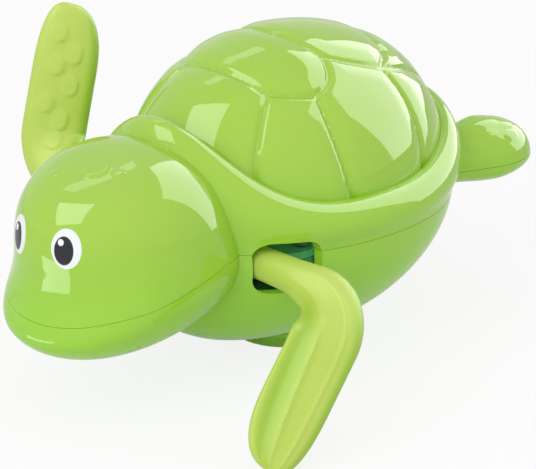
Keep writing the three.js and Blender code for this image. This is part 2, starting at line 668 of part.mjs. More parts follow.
function contrateWheel() {
  const spur = gear(contrateSpur, contratePinionBottom, PINION_FACE + WHEEL_THICKNESS / 2);
  const disc = rod(crownOuter, crownDiscBottom, crownDiscTop, contrateAt, TEETH.crown);
  const length = crownRadius * crownStep;
  const toothTop = crownPitchZ + TOOTH.addendum * MODULE - crownDiscTop;
  const profile = new THREE.Shape();
  profile.moveTo(-TOOTH.crownRoot * length / 2, -WHEEL_THICKNESS / 2);
  profile.lineTo(TOOTH.crownRoot * length / 2, -WHEEL_THICKNESS / 2);
  profile.lineTo(TOOTH.tip * length / 2, toothTop);
  profile.lineTo(-TOOTH.tip * length / 2, toothTop);
  profile.closePath();
  const teeth = range(TEETH.crown, (i) => {
    const tooth = alongX(profile, crownRadius - CROWN_FACE / 2, crownOuter);
    return tooth.rotate([0, 0, 360 * (i + 0.5) / TEETH.crown]).translate([...contrateAt, crownDiscTop]);
  });
  return joined([spur, disc, ...teeth]).subtract(rod(PIN_RADIUS + CLEARANCE, 0, shaftZ, contrateAt, 10));
}

// Pins: a thin journal above a shoulder that carries the wheel
function shoulderPin(at, shoulderTop, top) {
  const foot = baseBottom + CLEARANCE;
  const wide = PIN_RADIUS + PIN_SHOULDER;
  const step = baseTop + CLEARANCE;
  const profile = [
    [0, foot], [PIN_RADIUS, foot], [PIN_RADIUS, step], [wide, step],
    [wide, shoulderTop], [PIN_RADIUS, shoulderTop], [PIN_RADIUS, top], [0, top],
  ];
  return turned(profile, at, 10);
}

// The output pinion has one tooth straight down, in a gap of the crown wheel
function outputPinion() {
  const from = crownRadius - PINION_FACE / 2;
  const shape = gearShape(TEETH.pinion, -Math.PI / 2);
  const blank = alongX(shape, from, from + PINION_FACE);
  const hub = alongX(round(rootRadius(TEETH.pinion)), from, cheekInner - CLEARANCE, 6);
  const bore = alongX(round(SHAFT_RADIUS + CLEARANCE / 2), 0, cheekOuter, 6);
  return blank.add(hub).subtract(bore).translate([0, shaftY, shaftZ]);
}

function outputShaft() {
  return alongX(round(SHAFT_RADIUS), -SHAFT_HALF_LENGTH, SHAFT_HALF_LENGTH, 8).translate([0, shaftY, shaftZ]);
}

// Gearbox: the base follows the belly, four pillars carry the cover, whose cheeks hold the shaft
const pillars = PILLAR_ANGLES.map((degrees) => {
  const angle = radians(degrees);
  return [pillarCircle * Math.cos(angle), pillarCircle * Math.sin(angle)];
});
const slotTravel = [SLOT_TRAVEL, 0];

function gearboxBase() {
  const edge = oval(24, baseReach, baseMiddle, () => 0);
  const outline = new THREE.Shape(edge.map(({ x, y }) => new THREE.Vector2(x, y)));
  const posts = pillars.map((at) => rod(PILLAR_RADIUS, baseBottom, coverBottom - CLEARANCE, at, 8));
  const springPostAt = [springOuter + SPRING_THICKNESS / 2 + CLEARANCE + SPRING_POST_RADIUS, 0];
  const springPost = rod(SPRING_POST_RADIUS, baseBottom, springTop, springPostAt, 8);
  const pilotBottom = coverTop - SCREW_LENGTH - CLEARANCE;
  const pilots = pillars.map((at) => rod(SCREW_RADIUS + CLEARANCE, pilotBottom, coverTop, at, 8));
  const screwHoles = motorPosts.map((at) => rod(SCREW_RADIUS + CLEARANCE, 0, seamZ, at, 8));
  const spindle = rod(ARBOR_RADIUS + CLEARANCE, 0, seamZ, arborAt, 12);
  const contrateHole = rod(PIN_RADIUS + CLEARANCE, 0, seamZ, contrateAt, 10);
  const slot = plate(slotShape(floatingAt, PIN_RADIUS + CLEARANCE, slotTravel), 0, seamZ);
  const body = joined([plate(outline, baseBottom, PLATE), ...posts, springPost]);
  return without(body, [...pilots, ...screwHoles, spindle, contrateHole, slot]);
}

function gearboxCover() {
  const [rear, side] = [pillars[0], pillars[3]];
  const wide = side[0] + COVER_EDGE;
  const arm = cheekOuter + COVER_EDGE / 2;
  const front = shaftY - CHEEK_HALF_WIDTH;
  const half = [
    [rear[0] + COVER_EDGE, rear[1] + COVER_EDGE], [wide, side[1] + COVER_EDGE], [wide, side[1] - COVER_EDGE],
    [arm, floatingY - COVER_EDGE], [arm, front],
  ];
  const mirrored = half.map(([x, y]) => [-x, y]).reverse();
  const slab = plate(roundedShape([...mirrored, ...half], COVER_EDGE / 2), coverBottom, PLATE);
  const wheelRoom = crownOuter + CLEARANCE;
  const room = rod(wheelRoom, 0, shaftZ, contrateAt, 20);
  const mouthEnd = front - PLATE;
  const mouth = roundedShape(
    [[-wheelRoom, mouthEnd], [wheelRoom, mouthEnd], [wheelRoom, shaftY], [-wheelRoom, shaftY]], CLEARANCE,
  );
  const cheek = new THREE.Shape();
  cheek.moveTo(shaftY - CHEEK_HALF_WIDTH, coverBottom);
  cheek.lineTo(shaftY + CHEEK_HALF_WIDTH, coverBottom);
  cheek.lineTo(shaftY + CHEEK_HALF_WIDTH, shaftZ);
  cheek.absarc(shaftY, shaftZ, CHEEK_HALF_WIDTH, 0, Math.PI);
  cheek.closePath();
  const cheeks = [alongX(cheek, cheekInner, cheekOuter, 4), alongX(cheek, -cheekOuter, -cheekInner, 4)];
  const hole = round(SHAFT_RADIUS + CLEARANCE / 2, shaftY, shaftZ);
  const bearing = alongX(hole, -cheekOuter - 1, cheekOuter + 1, 6);
  const screwHoles = pillars.map((at) => rod(SCREW_RADIUS + CLEARANCE, 0, seamZ, at, 8));
  const journal = rod(JOURNAL_RADIUS + CLEARANCE, 0, seamZ, arborAt, 12);
  const slot = plate(slotShape(floatingAt, PIN_RADIUS + CLEARANCE, slotTravel), 0, seamZ);
  const opened = without(slab, [room, plate(mouth, 0, shaftZ)]);
  return without(joined([opened, ...cheeks]), [...screwHoles, journal, slot, bearing]);
}

// A pan-head screw standing on its seat, thread down or up, with a straight driver slot
function screw([x, y], seat, tip) {
  const up = seat > tip ? 1 : -1;
  const top = seat + up * (SCREW_HEAD.height + CLEARANCE);
  const under = seat + up * CLEARANCE;
  const profile = [
    [0, tip], [SCREW_RADIUS, tip + up * SCREW_RADIUS], [SCREW_RADIUS, under], [SCREW_HEAD.radius, under],
    [SCREW_HEAD.radius, top - up * SCREW_HEAD.edge], [SCREW_HEAD.radius - SCREW_HEAD.edge, top], [0, top],
  ];
  const slot = new THREE.BoxGeometry(2 * SCREW_HEAD.radius + 1, DRIVE_SLOT.width, 2 * DRIVE_SLOT.depth);
  return turned(profile, [x, y], 6).subtract(solidOf(slot.translate(x, y, top)));
}

// A front flipper: a round stem along the shaft, a knee and a flat blade that is twisted about its own
// length. One face has a channel beside its inner edge, the other has raised oval scales. The phase turns
// the blade round the shaft from straight up towards the rear
function flipper(side, phase) {
  const stemStart = cheekOuter + RUNNING_GAP;
  const bend = radians(KNEE_BEND_ANGLE);
  const path = new THREE.Path();
  path.moveTo(stemStart, 0);
  path.lineTo(KNEE_X, 0);
  path.absarc(KNEE_X, KNEE_RADIUS, KNEE_RADIUS, -Math.PI / 2, bend - Math.PI / 2);
  path.lineTo(
    KNEE_X + KNEE_RADIUS * Math.sin(bend) + BLADE_LENGTH * Math.cos(bend),
    KNEE_RADIUS * (1 - Math.cos(bend)) + BLADE_LENGTH * Math.sin(bend),
  );
  const length = path.getLength();
  const kneeStart = KNEE_X - stemStart;
  const kneeEnd = kneeStart + KNEE_RADIUS * bend;
  const tipStart = length - TIP_ROUNDING;
  const turn = radians(phase);
  const [rise, run] = [Math.cos(turn), Math.sin(turn)];
  const toBody = (u, v, w) => (
    new THREE.Vector3(side * u, shaftY + v * run + w * rise, shaftZ + v * rise - w * run)
  );
  // A point beside the path: towards the blade's inner edge and off its channelled face
  const place = (s, inward, off) => {
    const at = path.getPointAt(s / length);
    const way = path.getTangentAt(s / length);
    const twist = radians(BLADE_TWIST_ANGLE) * THREE.MathUtils.smoothstep(s, kneeStart, kneeEnd + TWIST_RUN);
    const x = inward * Math.cos(twist) - off * Math.sin(twist);
    const w = inward * Math.sin(twist) + off * Math.cos(twist);
    return toBody(at.x - way.y * x, at.y + way.x * x, w);
  };
  const stations = [0, kneeStart - STEM_FLARE, ...range(7, (i) => kneeStart + (kneeEnd - kneeStart) * i / 6)];
  stations.push(kneeEnd + TWIST_RUN);
  stations.push(...[0, 0.4, 0.7, 0.9, 0.99].map((share) => tipStart + TIP_ROUNDING * share));
  const rings = stations.map((s) => {
    const flat = THREE.MathUtils.smoothstep(s, kneeStart - STEM_FLARE, kneeEnd);
    const end = Math.max(0, (s - tipStart) / TIP_ROUNDING);
    const rounding = Math.sqrt(1 - end ** 2);
    const halfThickness = THREE.MathUtils.lerp(STEM_RADIUS, BLADE_HALF_THICKNESS, flat) * Math.sqrt(rounding);
    const power = THREE.MathUtils.lerp(1, BLADE_SQUARENESS, flat);
    return range(16, (j) => {
      const angle = side * 2 * Math.PI * j / 16;
      const across = signedPower(Math.cos(angle), power);
      const reach = across > 0 ? BLADE_REACH.inner : BLADE_REACH.outer;
      const halfWidth = THREE.MathUtils.lerp(STEM_RADIUS, reach, flat) * rounding;
      const dip = CHANNEL_DEPTH * flat * rounding * bell((across - CHANNEL_PLACE) / CHANNEL_SPREAD);
      const face = Math.sin(angle) > 0.2 ? dip : 0;
      return place(s, halfWidth * across, halfThickness * signedPower(Math.sin(angle), power) - face);
    });
  });
  const scales = SCALES.map(([along, across]) => {
    const scale = new THREE.SphereGeometry(1, 6, 3);
    const points = scale.attributes.position;
    range(points.count, (i) => {
      const s = kneeEnd + along + SCALE_SIZE.along * points.getY(i);
      const off = SCALE_RISE * (1 + 2 * points.getZ(i)) - BLADE_HALF_THICKNESS;
      const at = place(s, across + SCALE_SIZE.across * points.getX(i), off);
      points.setXYZ(i, at.x, at.y, at.z);
    });
    return solidOf(scale);
  });
  const bore = round(SHAFT_RADIUS + CLEARANCE / 2, shaftY, shaftZ);
  const [from, to] = side > 0 ? [0, SHAFT_HALF_LENGTH + CLEARANCE] : [-SHAFT_HALF_LENGTH - CLEARANCE, 0];
  return joined([skin(rings), ...scales]).subtract(alongX(bore, from, to, 6));
}

// Finishes
const plastic = (color, roughness) => new THREE.MeshStandardMaterial({ color, roughness, metalness: 0 });
const steel = (color, roughness) => new THREE.MeshStandardMaterial({ color, roughness, metalness: 1 });
const LIME = 0xa3d050;
const YELLOW_GREEN = 0xbbd755;
const NATURAL = 0xeeeadd;
const DEEP_GREEN = 0x3f8961;
const STEEL = 0xb9bcc0;

const turtle = new THREE.Group();
function piece(name, solid, material) {
  const mesh = new THREE.Mesh(geometryOf(solid), material);
  mesh.name = name;
  turtle.add(mesh);
}

const floatingPin = shoulderPin(floatingAt, floatingPinionBottom - CLEARANCE, journalTop);
const contratePin = shoulderPin(contrateAt, contratePinionBottom - CLEARANCE, crownDiscTop);
piece('upper_shell', upperShell(), plastic(LIME, 0.22));
piece('lower_shell', lowerShell(), plastic(LIME, 0.22));
piece('left_flipper', flipper(1, PHASE_ANGLES.left), plastic(YELLOW_GREEN, 0.4));
piece('right_flipper', flipper(-1, PHASE_ANGLES.right), plastic(YELLOW_GREEN, 0.4));
piece('winding_knob', windingKnob(), plastic(LIME, 0.25));
piece('winding_arbor', windingArbor(), steel(STEEL, 0.35));
piece('mainspring', mainspring(), steel(0x8f959c, 0.3));
piece('main_wheel', mainWheel(), plastic(NATURAL, 0.45));
piece('floating_wheel', floatingWheel(), plastic(NATURAL, 0.45));
piece('floating_pin', floatingPin, steel(STEEL, 0.3));
piece('contrate_wheel', contrateWheel(), plastic(NATURAL, 0.45));
piece('contrate_pin', contratePin, steel(STEEL, 0.3));
piece('output_pinion', outputPinion(), plastic(NATURAL, 0.45));
piece('output_shaft', outputShaft(), steel(STEEL, 0.3));
piece('gearbox_base', gearboxBase(), plastic(DEEP_GREEN, 0.5));
piece('gearbox_cover', gearboxCover(), plastic(DEEP_GREEN, 0.5));
pillars.forEach((at, i) => {
  piece(`gearbox_screw_${i + 1}`, screw(at, coverTop, coverTop - SCREW_LENGTH), steel(STEEL, 0.35));
});
motorPosts.forEach((at, i) => {
  piece(`motor_screw_${i + 1}`, screw(at, baseTop, baseTop - MOTOR_SCREW_LENGTH), steel(STEEL, 0.35));
});
SHELL_SCREWS.forEach((at, i) => {
  const { seat, tip } = shellScrewLevels(at);
  piece(`shell_screw_${i + 1}`, screw(at, seat, tip), steel(STEEL, 0.35));
});

export default turtle;
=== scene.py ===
"""Looks of the wind-up bath turtle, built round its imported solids. Lengths are in metres."""

import itertools
import json
import math

import bpy
import numpy as np
from bpy.props import FloatProperty, FloatVectorProperty, IntProperty, PointerProperty
from bpy.types import Operator, Panel, PropertyGroup
from mathutils import Matrix, Quaternion, Vector
from mathutils.bvhtree import BVHTree


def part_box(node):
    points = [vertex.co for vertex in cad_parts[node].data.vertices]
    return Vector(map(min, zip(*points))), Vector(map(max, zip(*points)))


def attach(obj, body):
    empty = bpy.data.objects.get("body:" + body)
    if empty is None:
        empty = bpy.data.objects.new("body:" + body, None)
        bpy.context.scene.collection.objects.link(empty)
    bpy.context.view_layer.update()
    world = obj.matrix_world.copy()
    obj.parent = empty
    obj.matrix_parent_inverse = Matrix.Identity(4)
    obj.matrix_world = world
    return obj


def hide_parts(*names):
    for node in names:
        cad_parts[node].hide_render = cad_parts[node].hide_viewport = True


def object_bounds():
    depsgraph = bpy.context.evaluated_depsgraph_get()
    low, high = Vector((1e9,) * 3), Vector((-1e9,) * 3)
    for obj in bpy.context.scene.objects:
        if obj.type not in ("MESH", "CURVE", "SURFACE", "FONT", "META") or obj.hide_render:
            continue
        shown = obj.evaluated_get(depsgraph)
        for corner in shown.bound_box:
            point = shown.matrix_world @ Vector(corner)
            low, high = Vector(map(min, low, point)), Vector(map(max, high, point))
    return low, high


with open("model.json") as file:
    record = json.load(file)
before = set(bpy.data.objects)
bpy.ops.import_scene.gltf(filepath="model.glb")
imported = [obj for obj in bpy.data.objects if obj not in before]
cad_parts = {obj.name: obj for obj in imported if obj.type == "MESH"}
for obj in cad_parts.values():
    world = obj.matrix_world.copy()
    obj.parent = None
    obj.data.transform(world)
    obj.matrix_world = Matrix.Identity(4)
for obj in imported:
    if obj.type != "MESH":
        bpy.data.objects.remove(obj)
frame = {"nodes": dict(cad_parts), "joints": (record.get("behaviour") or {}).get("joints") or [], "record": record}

bl_info = {
    "name": "Wind-up Turtle",
    "version": (1, 0, 0),
    "blender": (4, 5, 0),
    "location": "View3D > Sidebar > Turtle",
    "description": "Moulded shells, rowing flippers, printed eyes and studio of a wind-up bath turtle",
    "category": "Add Mesh",
}

CAD_BOX = [list(corner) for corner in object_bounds()]
SHAFT = next(Vector(joint["pos_m"]) for joint in frame["joints"] if joint["name"] == "output_spin")
KNOB_LOW, KNOB_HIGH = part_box("winding_knob")
SPRING_LOW, SPRING_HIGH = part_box("mainspring")
BASE_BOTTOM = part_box("gearbox_base")[0].z
BOSS_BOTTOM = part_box("lower_shell")[0].z
STEM_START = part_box("left_flipper")[0].x
SIDES = (1, -1)


# Kinds of setting

def length(name, description, default):
    return FloatProperty(name=name, description=description, default=default, unit="LENGTH", precision=5)


def reach(name, description, default):
    return FloatVectorProperty(
        name=name, description=description, default=default, size=len(default), unit="LENGTH", precision=5
    )


def share(name, description, default):
    return FloatProperty(name=name, description=description, default=default, precision=3)


def shares(name, description, default):
    return FloatVectorProperty(name=name, description=description, default=default, size=len(default))


def angle(name, description, degrees):
    return FloatProperty(name=name, description=description, default=math.radians(degrees), unit="ROTATION")


def colour(name, description, default):
    return FloatVectorProperty(
        name=name, description=description, default=default, size=3, subtype="COLOR", min=0, max=1
    )


class TurtleBody(PropertyGroup):
    """Trunk of the toy: belly, rolled rim and dome. Triples are side, front and rear"""

    seam: length("Seam above shaft", "Height of the parting line over the flippers' shaft", 0.0027)
    gap: length("Clearance", "Space left between pieces that meet inside", 0.0003)
    seam_line: length("Seam line", "Open line between the two shells", 0.00008)
    wall: length("Wall", "Thickness of the moulded shells", 0.0018)
    girth: reach("Girth", "Reach of the trunk at the seam", (0.031, 0.0365, 0.0326))
    rim: reach("Rim", "Reach of the rim where it is widest", (0.032, 0.0365, 0.035))
    crest: reach("Crest", "Reach of the rim's highest line", (0.0284, 0.0318, 0.033))
    rim_rise: reach("Rim height", "Height of the widest line over the seam", (0.0035, 0.009, 0.0085))
    crest_rise: reach("Crest height", "Height of the highest line over the seam", (0.0076, 0.022, 0.0145))
    roll: length("Roll", "Radius with which the rim rolls in towards the dome", 0.0022)
    plan_power: share("Plan power", "Below 1 the plan is squarer than an ellipse", 0.96)
    dome: reach("Dome", "Reach of the dome at its foot", (0.0276, 0.0308, 0.0356))
    dome_curve: shares("Dome curve", "Fullness of the dome", (0.95, 1.06, 0.88))
    dome_back: length("Dome place", "Where the dome's middle lies along the body", -0.001)
    dome_foot: length("Dome foot", "Height of the dome's foot over the seam", 0.004)
    dome_height: length("Dome height", "Height of the dome over its foot", 0.028)
    belly_depth: length("Belly depth", "Depth of the belly under the seam", 0.0254)
    belly_forward: length("Belly forward", "How far the belly's lowest part lies to the front", 0.005)
    belly_curve: shares("Belly curve", "Fullness of the belly", (1.05, 0.72, 1.4))
    boss_radius: length("Boss radius", "Round boss over the winding knob", 0.0128)


class TurtleHead(PropertyGroup):
    """Head, from the chin to the crown. Triples are side, front and rear"""

    place: length("Place", "Where the head's middle lies along the body", -0.0386)
    rise: length("Rise", "Height of the head's middle over the seam", 0.0012)
    pitch: angle("Pitch", "Nod of the head", 16)
    size: reach("Size", "Reach of the head", (0.0196, 0.0222, 0.018))
    crown_height: length("Crown height", "Height of the crown over the head's middle", 0.0179)
    crown_forward: length("Crown forward", "How far the crown leans to the front", 0.004)
    crown_curve: shares("Crown curve", "Fullness of the upper head", (0.6, 0.8, 0.6))
    jaw_depth: length("Jaw depth", "Depth of the chin under the head's middle", 0.016)
    jaw_curve: shares("Jaw curve", "Fullness of the lower head", (0.6, 0.35, 0.8))
    muzzle: reach("Muzzle", "Swelling of the muzzle", (0.0016, 0.007, 0.0))
    muzzle_tilt: angle("Muzzle tilt", "Elevation of the muzzle on the head", -22)
    muzzle_above: angle("Muzzle above", "How far the muzzle spreads upwards", 20)
    muzzle_below: angle("Muzzle below", "How far the muzzle spreads downwards", 38)
    cheek: length("Cheek", "Height of the pad at a corner of the mouth", 0.0006)
    cheek_reach: length("Cheek reach", "Half width of the pad", 0.0075)
    neck_bend: length("Neck bend", "Where the seam starts to fall towards the mouth", -0.0345)


class TurtleScutes(PropertyGroup):
    """Moulded lines between the scutes of the back"""

    reach: length("Groove reach", "Half width of a groove", 0.0011)
    depth: length("Groove depth", "Depth of a groove", 0.0006)
    pillow_reach: length("Pillow reach", "How far from its groove a scute is rounded off", 0.0042)
    pillow: length("Pillow", "How much a scute is rounded off", 0.00045)


class TurtleHindFlippers(PropertyGroup):
    """The two short fixed flippers behind"""

    root: reach("Root", "Middle of the flipper inside the body", (0.0115, 0.02))
    tip: reach("Tip", "Middle of the flipper's end", (0.0166, 0.05))
    half_width: length("Half width", "Half of the flipper's width", 0.0076)
    above: length("Above", "Height over the seam", 0.008)
    below: length("Below", "Depth under the seam", 0.0046)
    rounding: share("Rounding", "Share of the length over which the end is rounded", 0.42)
    root_share: share("Root share", "Width at the root as a share of the full width", 0.66)


class TurtleFlippers(PropertyGroup):
    """The two rowing flippers: stem, knee and blade"""

    stem_radius: length("Stem radius", "Radius of the round stem", 0.0031)
    stem_flare: length("Stem flare", "Length before the knee over which the stem widens", 0.007)
    knee_place: length("Knee place", "Where the stem starts to bend", 0.0331)
    knee_radius: length("Knee radius", "Radius of the bend", 0.0105)
    knee_bend: angle("Knee bend", "Turn from the stem into the blade", 86)
    knee_fill: length("Knee fill", "How much the knee's inner side is filled", 0.0013)
    blade_length: length("Blade length", "From the knee to the blade's tip", 0.0245)
    inner_reach: length("Inner reach", "From the blade's middle line to its inner edge", 0.0079)
    outer_reach: length("Outer reach", "From the blade's middle line to its outer edge", 0.0046)
    half_thickness: length("Half thickness", "Half of the blade's thickness", 0.0024)
    twist: angle("Twist", "Turn of the blade about its own length", 44)
    twist_run: length("Twist run", "How far past the knee the twist goes on", 0.004)
    tip_rounding: length("Tip rounding", "Length over which the tip is rounded", 0.014)
    tip_fullness: share("Tip fullness", "Above 2 the tip is blunter than an ellipse", 2.6)
    squareness: share("Squareness", "Below 1 the blade's section is squarer than an ellipse", 0.8)
    channel: length("Channel", "Depth of the long channel beside the inner edge", 0.0011)
    ridge: length("Ridge", "Height of the ridge beside the channel", 0.0004)
    left_phase: angle("Left phase", "Turn of the left blade from straight up to the rear", 223.4)
    right_phase: angle("Right phase", "Turn of the right blade from straight up to the rear", 18.9)
    bore_radius: length("Bore radius", "Hole for the shaft", 0.00165)
    bore_end: length("Bore end", "Where the hole ends in the stem", 0.0223)


class TurtleScales(PropertyGroup):
    """Raised oval scales on the flippers and on the crown"""

    blade: length("Blade", "Half width of a scale on a rowing flipper", 0.0019)
    hind: length("Hind", "Half width of a scale on a hind flipper", 0.001)
    crown: length("Crown", "Half width of the round scale on the crown", 0.0027)
    rise: length("Rise", "Height of a scale", 0.0002)
    stretch: length("Stretch", "How much longer than wide a scale is", 0.0005)
    plateau: share("Plateau", "Share of a scale's half width that is level", 0.68)
    lean: share("Lean", "How far the scales of a rowing flipper lean towards its root", 1.0)


class TurtleEyes(PropertyGroup):
    """Printed eyes. Pairs are across and up"""

    left: reach("Left eye", "Place across the head and over the flippers' shaft", (0.0058, 0.0089))
    right: reach("Right eye", "Place across the head and over the flippers' shaft", (-0.0074, 0.0079))
    white: reach("White", "Half size of the white oval", (0.0031, 0.0036))
    pupil: reach("Pupil", "Half size of the dark oval", (0.002, 0.0026))
    pupil_place: reach("Pupil place", "Where the dark oval lies on the white one", (-0.0004, -0.0004))
    glint: length("Glint", "Radius of the light dot", 0.0006)
    glint_place: reach("Glint place", "Where the light dot lies on the white oval", (-0.0011, 0.001))
    film: length("Film", "Thickness of the print", 0.00006)


class TurtleKnob(PropertyGroup):
    """Winding knob under the belly"""

    flutes: IntProperty(name="Flutes", description="Finger flutes round the edge", default=12, min=3)
    flute_radius: length("Flute radius", "Radius of a flute", 0.0015)
    flute_place: length("Flute place", "Distance of a flute's middle outside the edge", 0.001)
    edge: length("Edge", "Rounding of the edges", 0.0006)
    rim: length("Rim", "Width of the rim round the dish", 0.0016)
    bar: length("Bar", "Width of the finger bar", 0.0032)
    hub_radius: length("Hub radius", "Radius of the hub round the spindle", 0.0035)
    socket_radius: length("Socket radius", "Hole for the spindle", 0.0025)
    socket_bottom: length("Socket bottom", "Height at which the spindle's hole begins", 0.00094)


class TurtleSpring(PropertyGroup):
    """Flat spiral mainspring"""

    turns: IntProperty(name="Turns", description="Turns of the strip", default=7, min=1)
    inner_radius: length("Inner radius", "Radius of the strip's first turn", 0.0027)
    strip: length("Strip", "Thickness of the strip", 0.0004)


class TurtleColours(PropertyGroup):
    """Colours of the plastics, the print and the metal"""

    lime: colour("Lime", "Body plastic", (0.37, 0.6, 0.058))
    # Painted shade: the body's colour goes to this deep one towards the belly, and it also gives the cloudy places
    lime_deep_and_shade: colour("Deep lime", "Body plastic where it is thicker", (0.29, 0.63, 0.03))
    flipper: colour("Flipper", "Flipper plastic", (0.505, 0.65, 0.11))
    flipper_deep: colour("Deep flipper", "Flipper plastic where it is thicker", (0.465, 0.635, 0.09))
    # Painted shade in a flipper's channel and at its edges
    flipper_painted_shade: colour(
        "Flipper hollow", "Flipper plastic in its channel and at its edge", (0.32, 0.525, 0.037)
    )
    natural: colour("Natural", "Plastic of the wheels", (0.8, 0.77, 0.68))
    # Partly painted shade: the gearbox's own plastic, made dark teal-green to stand for the deep shade seen inside
    # through the flipper openings
    gearbox: colour("Gearbox", "Plastic of the gearbox", (0.05, 0.25, 0.12))
    steel: colour("Steel", "Pins, screws, shaft and spring", (0.5, 0.51, 0.53))
    white: colour("White", "Print of the eyes", (0.86, 0.9, 0.9))
    charcoal: colour("Charcoal", "Print of the pupils", (0.035, 0.038, 0.045))
    floor: colour("Floor", "Studio floor", (0.92, 0.92, 0.92))


class TurtleStage(PropertyGroup):
    """Camera, floor and studio light"""

    azimuth: angle("Azimuth", "Side from which the camera looks, from the front to the turtle's left", 47)
    elevation: angle("Elevation", "Height of the camera over the horizon", 22)
    distance: length("Distance", "From the camera to the shaft", 0.56)
    anchor: reach("Anchor", "Point of the toy that the picture is set from", (0.0, -0.0275, 0.027))
    slide: length("Slide", "How far right of the anchor the camera looks", 0.01663)
    lens: FloatProperty(name="Lens", description="Focal length", default=203.5, subtype="DISTANCE_CAMERA")
    floor_half: length("Floor", "Half size of the floor", 6.0)
    fill: share("Fill", "Light from all round", 0.6)
    inner: FloatProperty(
        name="Inner light", description="Light that comes through the thin walls",
        default=0.0026, precision=4,
    )
    floor_glow: share("Floor glow", "Share of the floor that shows as plain white", 0.85)


GROUPS = {
    "body": TurtleBody,
    "head": TurtleHead,
    "scutes": TurtleScutes,
    "hind": TurtleHindFlippers,
    "flippers": TurtleFlippers,
    "scales": TurtleScales,
    "eyes": TurtleEyes,
    "knob": TurtleKnob,
    "spring": TurtleSpring,
    "colours": TurtleColours,
    "stage": TurtleStage,
}


class TurtleSettings(PropertyGroup):
    """All settings of the toy and its studio"""

    __annotations__ = {name: PointerProperty(type=group) for name, group in GROUPS.items()}


# Nodes

class Value:
    """A node's socket. Sums with it add Math nodes to its tree"""

    def __init__(self, tree, socket):
        self.tree = tree
        self.socket = socket

    def out(self, name):
        """Another output of the same node"""
        return Value(self.tree, self.socket.node.outputs[name])

    def math(self, operation, first, second=0.0):
        return self.tree.add("ShaderNodeMath", {"operation": operation}, {0: first, 1: second})

    def __add__(self, other):
        return self.math("ADD", self, other)

    def __radd__(self, other):
        return self.math("ADD", other, self)

    def __sub__(self, other):
        return self.math("SUBTRACT", self, other)

    def __rsub__(self, other):
        return self.math("SUBTRACT", other, self)

    def __mul__(self, other):
        return self.math("MULTIPLY", self, other)

    def __rmul__(self, other):
        return self.math("MULTIPLY", other, self)

    def __truediv__(self, other):
        return self.math("DIVIDE", self, other)

    def __rtruediv__(self, other):
        return self.math("DIVIDE", other, self)

    def __pow__(self, other):
        return self.math("POWER", self, other)

    def __rpow__(self, other):
        return self.math("POWER", other, self)


class Tree:
    """A node tree that is filled from Python expressions"""

    def __init__(self, tree):
        self.tree = tree
        tree.nodes.clear()

    def add(self, kind, settings=None, values=None, output=0):
        """One node of that kind: its settings first, then the values or links of its sockets"""
        node = self.tree.nodes.new(kind)
        for name, value in (settings or {}).items():
            setattr(node, name, value)
        for key, value in (values or {}).items():
            if isinstance(value, Value):
                self.tree.links.new(value.socket, node.inputs[key])
            else:
                node.inputs[key].default_value = value
        return Value(self, node.outputs[output]) if len(node.outputs) else None

    def blend(self, factor, first, second):
        """A colour between two colours"""
        return self.add("ShaderNodeMix", {"data_type": "RGBA"}, {0: factor, 6: first, 7: second}, 2)

    def step(self, value, low, high, start=0.0, end=1.0):
        """A smooth change from start to end as the value goes from low to high"""
        settings = {"interpolation_type": "SMOOTHSTEP"}
        return self.add("ShaderNodeMapRange", settings, {0: value, 1: low, 2: high, 3: start, 4: end})


def rgba(value):
    return (*value, 1.0)


# Finishes. Scales of the noises are in waves for each metre

CLOUD_SCALE, FINE_SCALE, GRAIN_SCALE, PRINT_SCALE, FLOOR_SCALE = 45.0, 900.0, 1500.0, 700.0, 3.0
FLOOR_MIRRORED = 0.3


def finish(name, paint):
    """The material of that name, painted the first time it is asked for"""
    known = bpy.data.materials.get(name)
    if known:
        return known
    material = bpy.data.materials.new(name)
    material.use_nodes = True
    tree = Tree(material.node_tree)
    surface = paint(tree)
    tree.add("ShaderNodeOutputMaterial", values={"Surface": surface})
    return material


def moulded(light, deep, roughness, low=0.0, high=0.0, hollow=None):
    """Moulded plastic, slightly deeper in colour in cloudy places and with a faintly uneven gloss.
    With two heights it paints shade: it goes from the deep colour at the low one to the light one at the high one,
    darker towards the bottom and lighter towards the top as the light falls.
    A colour of painted shade shows where the piece's own hollow attribute says"""

    def paint(tree):
        place = tree.add("ShaderNodeTexCoord", output="Object")
        cloud = tree.add("ShaderNodeTexNoise", values={"Vector": place, "Scale": CLOUD_SCALE, "Detail": 3.0})
        fine = tree.add("ShaderNodeTexNoise", values={"Vector": place, "Scale": FINE_SCALE, "Detail": 2.0})
        mixed = tree.step(cloud, 0.3, 0.7)
        # Painted shade: deep colour at the low height and light colour at the high one, as light falls on the top
        if high > low:
            height = tree.add("ShaderNodeSeparateXYZ", values={0: place}, output="Z")
            mixed = 0.2 * mixed + 0.8 * tree.step(height, low, high)
        tone = tree.blend(mixed, rgba(deep), rgba(light))
        if hollow:
            # Painted shade, where the hollow attribute says
            share_of = tree.add("ShaderNodeAttribute", {"attribute_name": "hollow"}, output="Fac")
            tone = tree.blend(share_of, tone, rgba(hollow))
        values = {"Base Color": tone, "Roughness": roughness * (0.85 + 0.3 * fine)}
        return tree.add("ShaderNodeBsdfPrincipled", values=values)

    return paint


def drawn_steel(tone):
    """Plain drawn steel with a fine grain"""

    def paint(tree):
        place = tree.add("ShaderNodeTexCoord", output="Object")
        grain = tree.add("ShaderNodeTexNoise", values={"Vector": place, "Scale": GRAIN_SCALE, "Detail": 3.0})
        dark = tuple(0.8 * part for part in tone)
        values = {
            "Base Color": tree.blend(grain, rgba(dark), rgba(tone)),
            "Metallic": 1.0,
            "Roughness": 0.24 + 0.14 * grain,
        }
        return tree.add("ShaderNodeBsdfPrincipled", values=values)

    return paint


